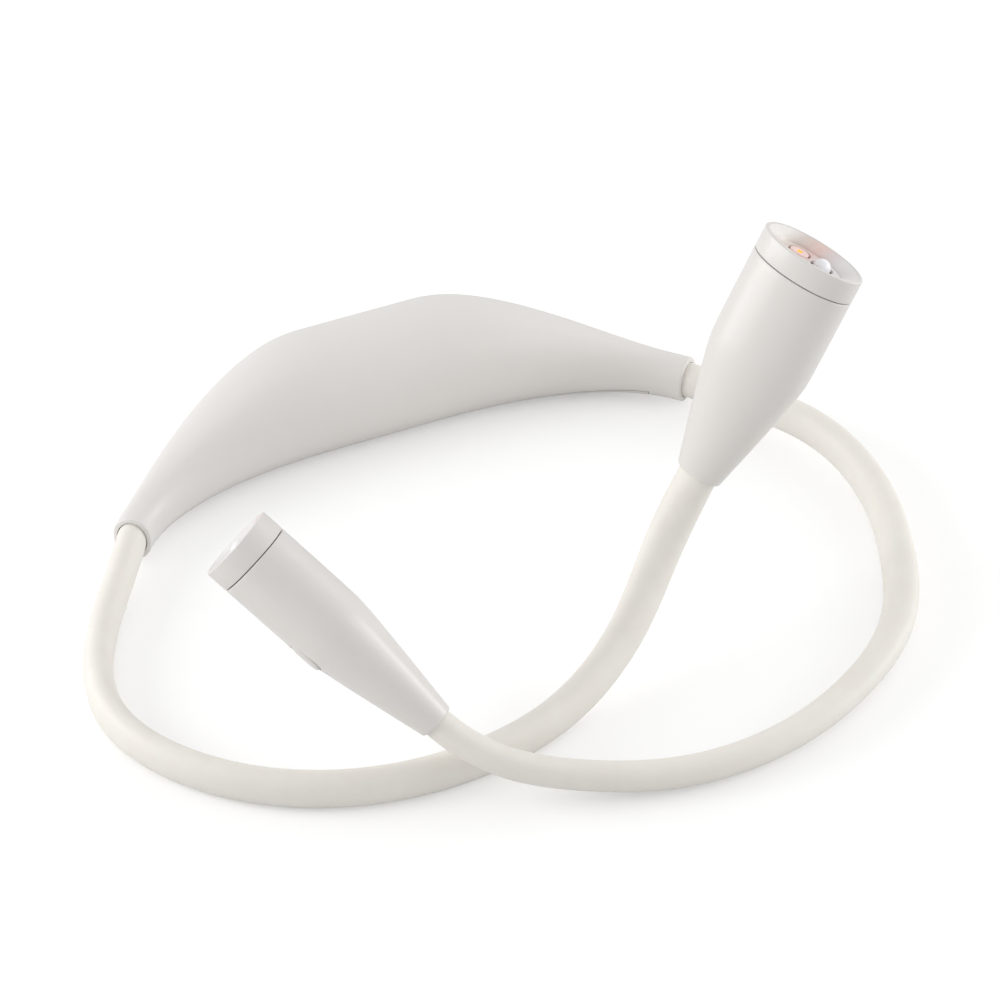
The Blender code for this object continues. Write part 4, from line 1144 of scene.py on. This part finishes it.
def head_shell(name):
    top = SEAM - SEAM_GAP
    deep = NECK_SOCKET + NECK_BULKHEAD
    rows = [(h, *head_half(h, inset)) for h, inset in reversed(round_over(0.0, -1, NECK_ROUND, 5))]
    rows += [(h, *head_half(h)) for h in evenly(NECK_ROUND, top - LIP_ROUND, 48)[1:]]
    rows += [(h, *head_half(h, inset)) for h, inset in round_over(top, 1, LIP_ROUND)[1:]]
    rows += [(h, *head_half(h, HEAD_WALL)) for h in evenly(top, deep, 30)]
    rows += [(deep, CORE_BORE, CORE_BORE), (NECK_SOCKET, CORE_BORE, CORE_BORE)]
    socket = (HOSE_BROAD / 2 + MOUTH_GAP, HOSE_NARROW / 2 + MOUTH_GAP)
    rows += [(NECK_SOCKET, *socket), (0.0004, *socket)]
    rows += [(0.0, socket[0] + FLARE, socket[1] + FLARE)]
    return turned_up(name, rows, HEAD_POINTS, HEAD_SQUARENESS, HEAD_WHITE, closed=True)


def button_rings(grow, rows):
    """Pill rings on the head's broad face, long along Z, at these depths along Y."""
    turn = Matrix.Rotation(pi / 2, 4, "X") @ Matrix.Rotation(pi / 2, 4, "Z")
    place = Matrix.Translation((0, 0, BUTTON_PLACE)) @ turn
    rings = []
    for depth, inset in rows:
        length, width = BUTTON_LENGTH + 2 * (grow - inset), BUTTON_WIDTH + 2 * (grow - inset)
        rings.append([place @ point for point in pill_ring(length, width, depth, 32)])
    return rings


face_depth = head_half(BUTTON_PLACE)[1]
print("the button's face stands", round((face_depth + BUTTON_PROUD) * 1000, 2), "mm from the axis")

# %% [markdown]
# ## Bezel and bowl
# The bezel is the ring that closes the head's mouth. Its rim is rounded and about a
# millimetre wide. Inside it sits the bowl, a shallow dish of glossy white plastic that throws
# the lamps' light forwards. Its wall curves down to a flat floor with a round well for each
# lamp. The wells are cut with real cutters instead of painted, so their edges shade by
# themselves.

# %% Bezel and bowl profiles
BEZEL_RIM, BEZEL_LEDGE, BOWL_SUNK, BOWL_EDGE = 0.0011, 0.0020, 0.0001, 0.0001
BEZEL_OUTER_ROUND, BEZEL_INNER_ROUND = 0.00045, 0.00008
CUP_DEPTH, CUP_WALL, CUP_CURVE = 0.0022, 0.0008, 1.6
CUP_FLOOR = (0.0192 / 2, 0.0096 / 2)
LAMP_SPACING, WELL_DIAMETER = 0.0077, 0.0065
# the well's cutter, from below: metres over the cup's floor, and how much wider it is there
WELL_ROWS = ((-0.002, 0), (-0.00022, 0), (-0.00008, 0.00005), (0, 0.0002), (0.0004, 0.0006))
CUP_LOW = HEAD_LENGTH - CUP_DEPTH
BOARD_TOP = CUP_LOW - CUP_WALL - FIT_GAP


def bezel(name):
    plug, bore = HEAD_WALL + FIT_GAP, HEAD_WALL + FIT_GAP + BEZEL_WALL
    foot, top = SEAM - 0.004, HEAD_LENGTH
    rows = [(foot, *head_half(top, plug)), (SEAM, *head_half(top, plug))]
    rows += [(h, *head_half(top, i)) for h, i in reversed(round_over(SEAM, -1, LIP_ROUND))]
    rows += [(h, *head_half(top, i)) for h, i in round_over(top, 1, BEZEL_OUTER_ROUND, 6)]
    inner = [(h, BEZEL_RIM - i) for h, i in reversed(round_over(top, 1, BEZEL_INNER_ROUND, 4))]
    rows += [(h, *head_half(top, i)) for h, i in inner]
    ledge = top - BEZEL_LEDGE
    rows += [(ledge, *head_half(top, BEZEL_RIM)), (ledge, *head_half(top, bore))]
    rows += [(foot, *head_half(top, bore))]
    return turned_up(name, rows, HEAD_POINTS, HEAD_SQUARENESS, HEAD_WHITE, closed=True)


def bowl(name):
    """A dish on a stepped plug, from its underside up and then down the curved wall."""
    top, ledge = HEAD_LENGTH - BOWL_SUNK, HEAD_LENGTH - BEZEL_LEDGE + FIT_GAP
    plug = head_half(HEAD_LENGTH, HEAD_WALL + BEZEL_WALL + 2 * FIT_GAP)
    flange = head_half(HEAD_LENGTH, BEZEL_RIM + 0.00002)
    mouth_size = head_half(HEAD_LENGTH, BEZEL_RIM + BOWL_EDGE)
    rows = [(CUP_LOW - CUP_WALL, *plug), (ledge, *plug), (ledge, *flange)]
    rows += [(top - 0.00003, *flange), (top, flange[0] - 0.00003, flange[1] - 0.00003)]
    for share in evenly(1, 0, 30):
        bow = share**CUP_CURVE
        half = [f + (m - f) * bow for f, m in zip(CUP_FLOOR, mouth_size)]
        rows.append((CUP_LOW + (top - 0.00002 - CUP_LOW) * share, *half))
    cup = turned_up(name, rows, HEAD_POINTS, HEAD_SQUARENESS, BOWL_WHITE)
    well = [(CUP_LOW + rise, WELL_DIAMETER / 2 + wider) for rise, wider in WELL_ROWS]
    for side in (-1, 1):
        cutter = turned_round("well", well, 64, BOWL_WHITE)
        carve(cup, put(cutter, Matrix.Translation((side * LAMP_SPACING / 2, 0, 0))))
    # The share across the bowl, from which its painted glow and shade are read.
    across = cup.data.attributes.new("across", "FLOAT", "POINT")
    width = 2 * mouth_size[0]
    across.data.foreach_set("value", [0.5 + point.co.x / width for point in cup.data.vertices])
    return cup


print("cup floor", round((HEAD_LENGTH - CUP_LOW) * 1000, 1), "mm under the rim")

# %% [markdown]
# ## The two lamps of a head
# One lamp gives warm light: a low pale body with a small amber die glowing in its middle. The
# other gives white light through a domed lens. They stand on the same board, in the wells.

# %% Lamps
DOME, DOME_HEIGHT, CHIP, CHIP_HEIGHT, CHIP_EDGE = 0.0050, 0.0030, 0.0054, 0.0009, 0.0003
DIE, DIE_HEIGHT, DIE_POCKET = 0.0015, 0.0005, 0.0003


def warm_lamp(name):
    low, high, radius = BOARD_TOP + FIT_GAP, BOARD_TOP + FIT_GAP + CHIP_HEIGHT, CHIP / 2
    rows = [(low, radius), (high - CHIP_EDGE, radius)]
    for i in range(1, 7):
        angle = pi / 2 * i / 6
        rows.append((high - CHIP_EDGE * (1 - sin(angle)), radius - CHIP_EDGE * (1 - cos(angle))))
    rows += [(high, DIE * 0.75), (high - 0.00025, DIE * 0.6), (high - DIE_POCKET, 0.00001)]
    return turned_round(name, rows, 48, LAMP_BODY)


def warm_die(name):
    low, radius = BOARD_TOP + FIT_GAP + CHIP_HEIGHT - DIE_POCKET, DIE / 2
    rows = [(low, radius)]
    rows += [(low + DIE_HEIGHT * sin(a), radius * cos(a)) for a in evenly(0.15, 1.5, 7)]
    return turned_round(name, rows, 32, AMBER)


def white_lamp(name):
    low, radius = BOARD_TOP + FIT_GAP, DOME / 2
    collar = DOME_HEIGHT - radius
    rows = [(low, radius), (low + collar, radius)]
    rows += [(low + collar + radius * sin(a), radius * cos(a)) for a in evenly(0.08, 1.55, 16)]
    return turned_round(name, rows, 48, DOME_LENS)


print("lamps", CHIP * 1000, "and", DOME * 1000, "mm wide")

# %% [markdown]
# ## The button
# A pill-shaped button stands a little proud of each head. Its top is slightly crowned, with a
# rounded edge that catches the light. Below it are the flange that keeps it in its hole and
# the stem that works the switch, drawn as one turned pill.

# %% Button
BUTTON_FLANGE, FLANGE_THICK, BUTTON_SLACK, BUTTON_ROUND = 0.0008, 0.0008, 0.0006, 0.0005
SWITCH_TOP, STEM_GAP, STEM_INSET = 0.0043, 0.0008, 0.0019


def button(name):
    top = face_depth + BUTTON_PROUD
    inside = head_half(BUTTON_PLACE - BUTTON_LENGTH / 2, HEAD_WALL)[1] - BUTTON_SLACK
    below = inside - FLANGE_THICK
    rows = [(SWITCH_TOP + STEM_GAP, STEM_INSET), (below, STEM_INSET), (below, -BUTTON_FLANGE)]
    rows += [(inside, -BUTTON_FLANGE), (inside, 0.0)]
    rows += round_over(top - 0.0002, 1, BUTTON_ROUND, 6)
    rows += [(top - 0.0001, 0.0010), (top - 0.00003, 0.0018), (top, 0.0026)]
    return skin(name, button_rings(0, rows), BUTTON_WHITE)


print("button tools ready")

# %% Put the pieces on both heads
warm_side = Matrix.Translation((LAMP_SPACING / 2, 0, 0))
white_side = Matrix.Translation((-LAMP_SPACING / 2, 0, 0))
for arm in ARMS:
    to_world = arm.at(ARM_LENGTH).matrix()
    body = f"{arm.name}_head"
    shell = head_shell(f"{arm.name}_head_skin")
    hole = skin("hole", button_rings(FIT_GAP, [(0.0055, 0), (face_depth + 0.003, 0)]), HEAD_WHITE)
    pieces = (
        (carve(shell, hole), "white_plastic", "head_shell"),
        (bezel(f"{arm.name}_bezel_ring"), "white_plastic", "bezel"),
        (bowl(f"{arm.name}_bowl"), "white_reflector", "reflector"),
        (put(warm_lamp(f"{arm.name}_warm_body"), warm_side), "amber_lamp", "warm_lamp"),
        (put(warm_die(f"{arm.name}_warm_die"), warm_side), "amber_lamp", None),
        (put(white_lamp(f"{arm.name}_white_dome"), white_side), "clear_lens", "white_lamp"),
    )
    for piece, slot, node in pieces:
        put(piece, to_world)
        dress(piece, body, slot, *([f"{arm.name}_{node}"] if node else []))
    key = put(button(f"{arm.name}_button_cap"), to_world)
    dress(key, f"{arm.name}_push_button", "white_plastic", f"{arm.name}_button")
    print(arm.name, "head dressed")

# %% [markdown]
# ## The charge light
# Beside the port a short clear rod carries light from the board to the back of the housing.
# Its outer end is a low dome, flush with the wall.

# %% Charge light
rod = PIPE_DIAMETER / 2
rod_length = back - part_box("charge_light_pipe")[0][1]
rows = [(-rod_length, rod), (-0.0006, rod)]
rows += [(-0.0006 + 0.00055 * sin(a), rod * cos(a)) for a in evenly(0.1, 1.5, 7)]
charge_light = put(turned_round("charge_light_rod", rows, 32, DOME_LENS), pipe_place)
dress(charge_light, "neckband", "clear_lens", "charge_light_pipe")
print("charge light rod", round(rod_length * 1000, 1), "mm long")

# %% [markdown]
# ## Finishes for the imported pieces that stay
# The boards, the cell, the switches, the clamps and the port already have their right shape,
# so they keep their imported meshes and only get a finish.

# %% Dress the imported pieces
KEPT = {
    "charge_board": BOARD,
    "battery_cell": CELL,
    "usb_socket": STEEL,
    "left_hose_anchor": STEEL,
    "right_hose_anchor": STEEL,
}
for name in ("left", "right"):
    KEPT[f"{name}_lamp_board"] = KEPT[f"{name}_driver_board"] = BOARD
    KEPT[f"{name}_button_switch"] = SWITCH
    KEPT[f"{name}_neck_clamp"] = STEEL
for node, material in KEPT.items():
    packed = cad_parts[node]
    packed.data.materials.clear()
    packed.data.materials.append(material)
print("packed pieces dressed:", len(KEPT))

# %% [markdown]
# ## Floor, light and view
# The floor is nearly white and matte. To the camera it also gives off a little light of its
# own, more of it far from the object, so that it melts into the white background, but this
# reaches nothing else. Most of the light comes from the whole sky, which keeps the shadows
# soft and close to the object. Two softboxes stand on each side, one of them low, so that
# every round form is bright along both edges and darker in the middle, where it faces the
# camera. A weak one stands behind.

# %% Floor
FLOOR_REACH, FLOOR_GLOW, FAR_GLOW = 6.0, 0.285, 0.35
floor_mesh = bpy.data.meshes.new("floor")
corners = [(x * FLOOR_REACH, y * FLOOR_REACH, 0) for x, y in ((-1, -1), (1, -1), (1, 1), (-1, 1))]
floor_mesh.from_pydata(corners, [], [(0, 1, 2, 3)])
floor = stand("floor", floor_mesh)
paper = bpy.data.materials.new("paper_floor")
graph = emptied(paper)
matte = graph.node("ShaderNodeBsdfDiffuse", None, {"Color": tone(0.86, 0.86, 0.86)})
spot = graph.node("ShaderNodeTexCoord", out="Object")
distance = graph.node("ShaderNodeVectorMath", {"operation": "LENGTH"}, {0: spot}, out=1)
strength = distance.over(0.75, 0.9) * FAR_GLOW + FLOOR_GLOW
glow = graph.node("ShaderNodeEmission", None, {"Color": tone(1, 1, 1), "Strength": strength})
seen = graph.node("ShaderNodeLightPath", None, None, out=0)
dark = graph.node("ShaderNodeEmission", None, {"Strength": 0.0})
seen_glow = graph.node("ShaderNodeMixShader", None, {0: seen, 1: dark, 2: glow})
both = graph.node("ShaderNodeAddShader", None, {0: matte, 1: seen_glow})
graph.node("ShaderNodeOutputMaterial", None, {"Surface": both})
floor_mesh.materials.append(paper)
print("floor laid")

# %% Lamps and sky
AIM, SKY = Vector((0, -0.08, 0)), 0.634
# each one: metres to the camera's right, metres towards the camera, height, width and watts
SOFTBOXES = {
    "left_softbox": (-1.1, 0.1, 0.55, 0.7, 4.5),
    "right_softbox": (1.1, 0.1, 0.55, 0.7, 1.6),
    "left_low_softbox": (-1.1, -0.3, 0.25, 0.5, 2.0),
    "right_low_softbox": (1.1, -0.3, 0.25, 0.5, 2.8),
    "back_softbox": (0.8, -0.8, 0.70, 0.7, 0.9),
}


def soft_lamp(name, across, nearer, height, width, watts):
    data = bpy.data.lights.new(name, "AREA")
    data.shape, data.size, data.energy = "DISK", width, watts
    lamp = stand(name, data)
    place = AIM + right * across + UP.cross(right) * -nearer + UP * height
    turn = (AIM - place).to_track_quat("-Z", "Y").to_matrix().to_4x4()
    lamp.matrix_world = Matrix.Translation(place) @ turn


for name, values in SOFTBOXES.items():
    soft_lamp(name, *values)

world = bpy.data.worlds.new("sky")
bpy.context.scene.world = world
graph = emptied(world)
ambient = graph.node("ShaderNodeBackground", None, {"Color": tone(1, 1, 1), "Strength": SKY})
backdrop = graph.node("ShaderNodeBackground", None, {"Color": tone(1, 1, 1), "Strength": 1.0})
ray_kinds = ("Is Camera Ray", "Is Glossy Ray", "Is Transmission Ray")
rays = [graph.node("ShaderNodeLightPath", None, None, out=kind) for kind in ray_kinds]
seen = (rays[0] + rays[1] + rays[2]).held()
sky = graph.node("ShaderNodeMixShader", None, {0: seen, 1: ambient, 2: backdrop})
graph.node("ShaderNodeOutputWorld", None, {"Surface": sky})
bpy.context.scene.view_settings.view_transform = "Standard"
print("lights set")

# %% [markdown]
# ## The end

# %% Finish
print("scene dressed")
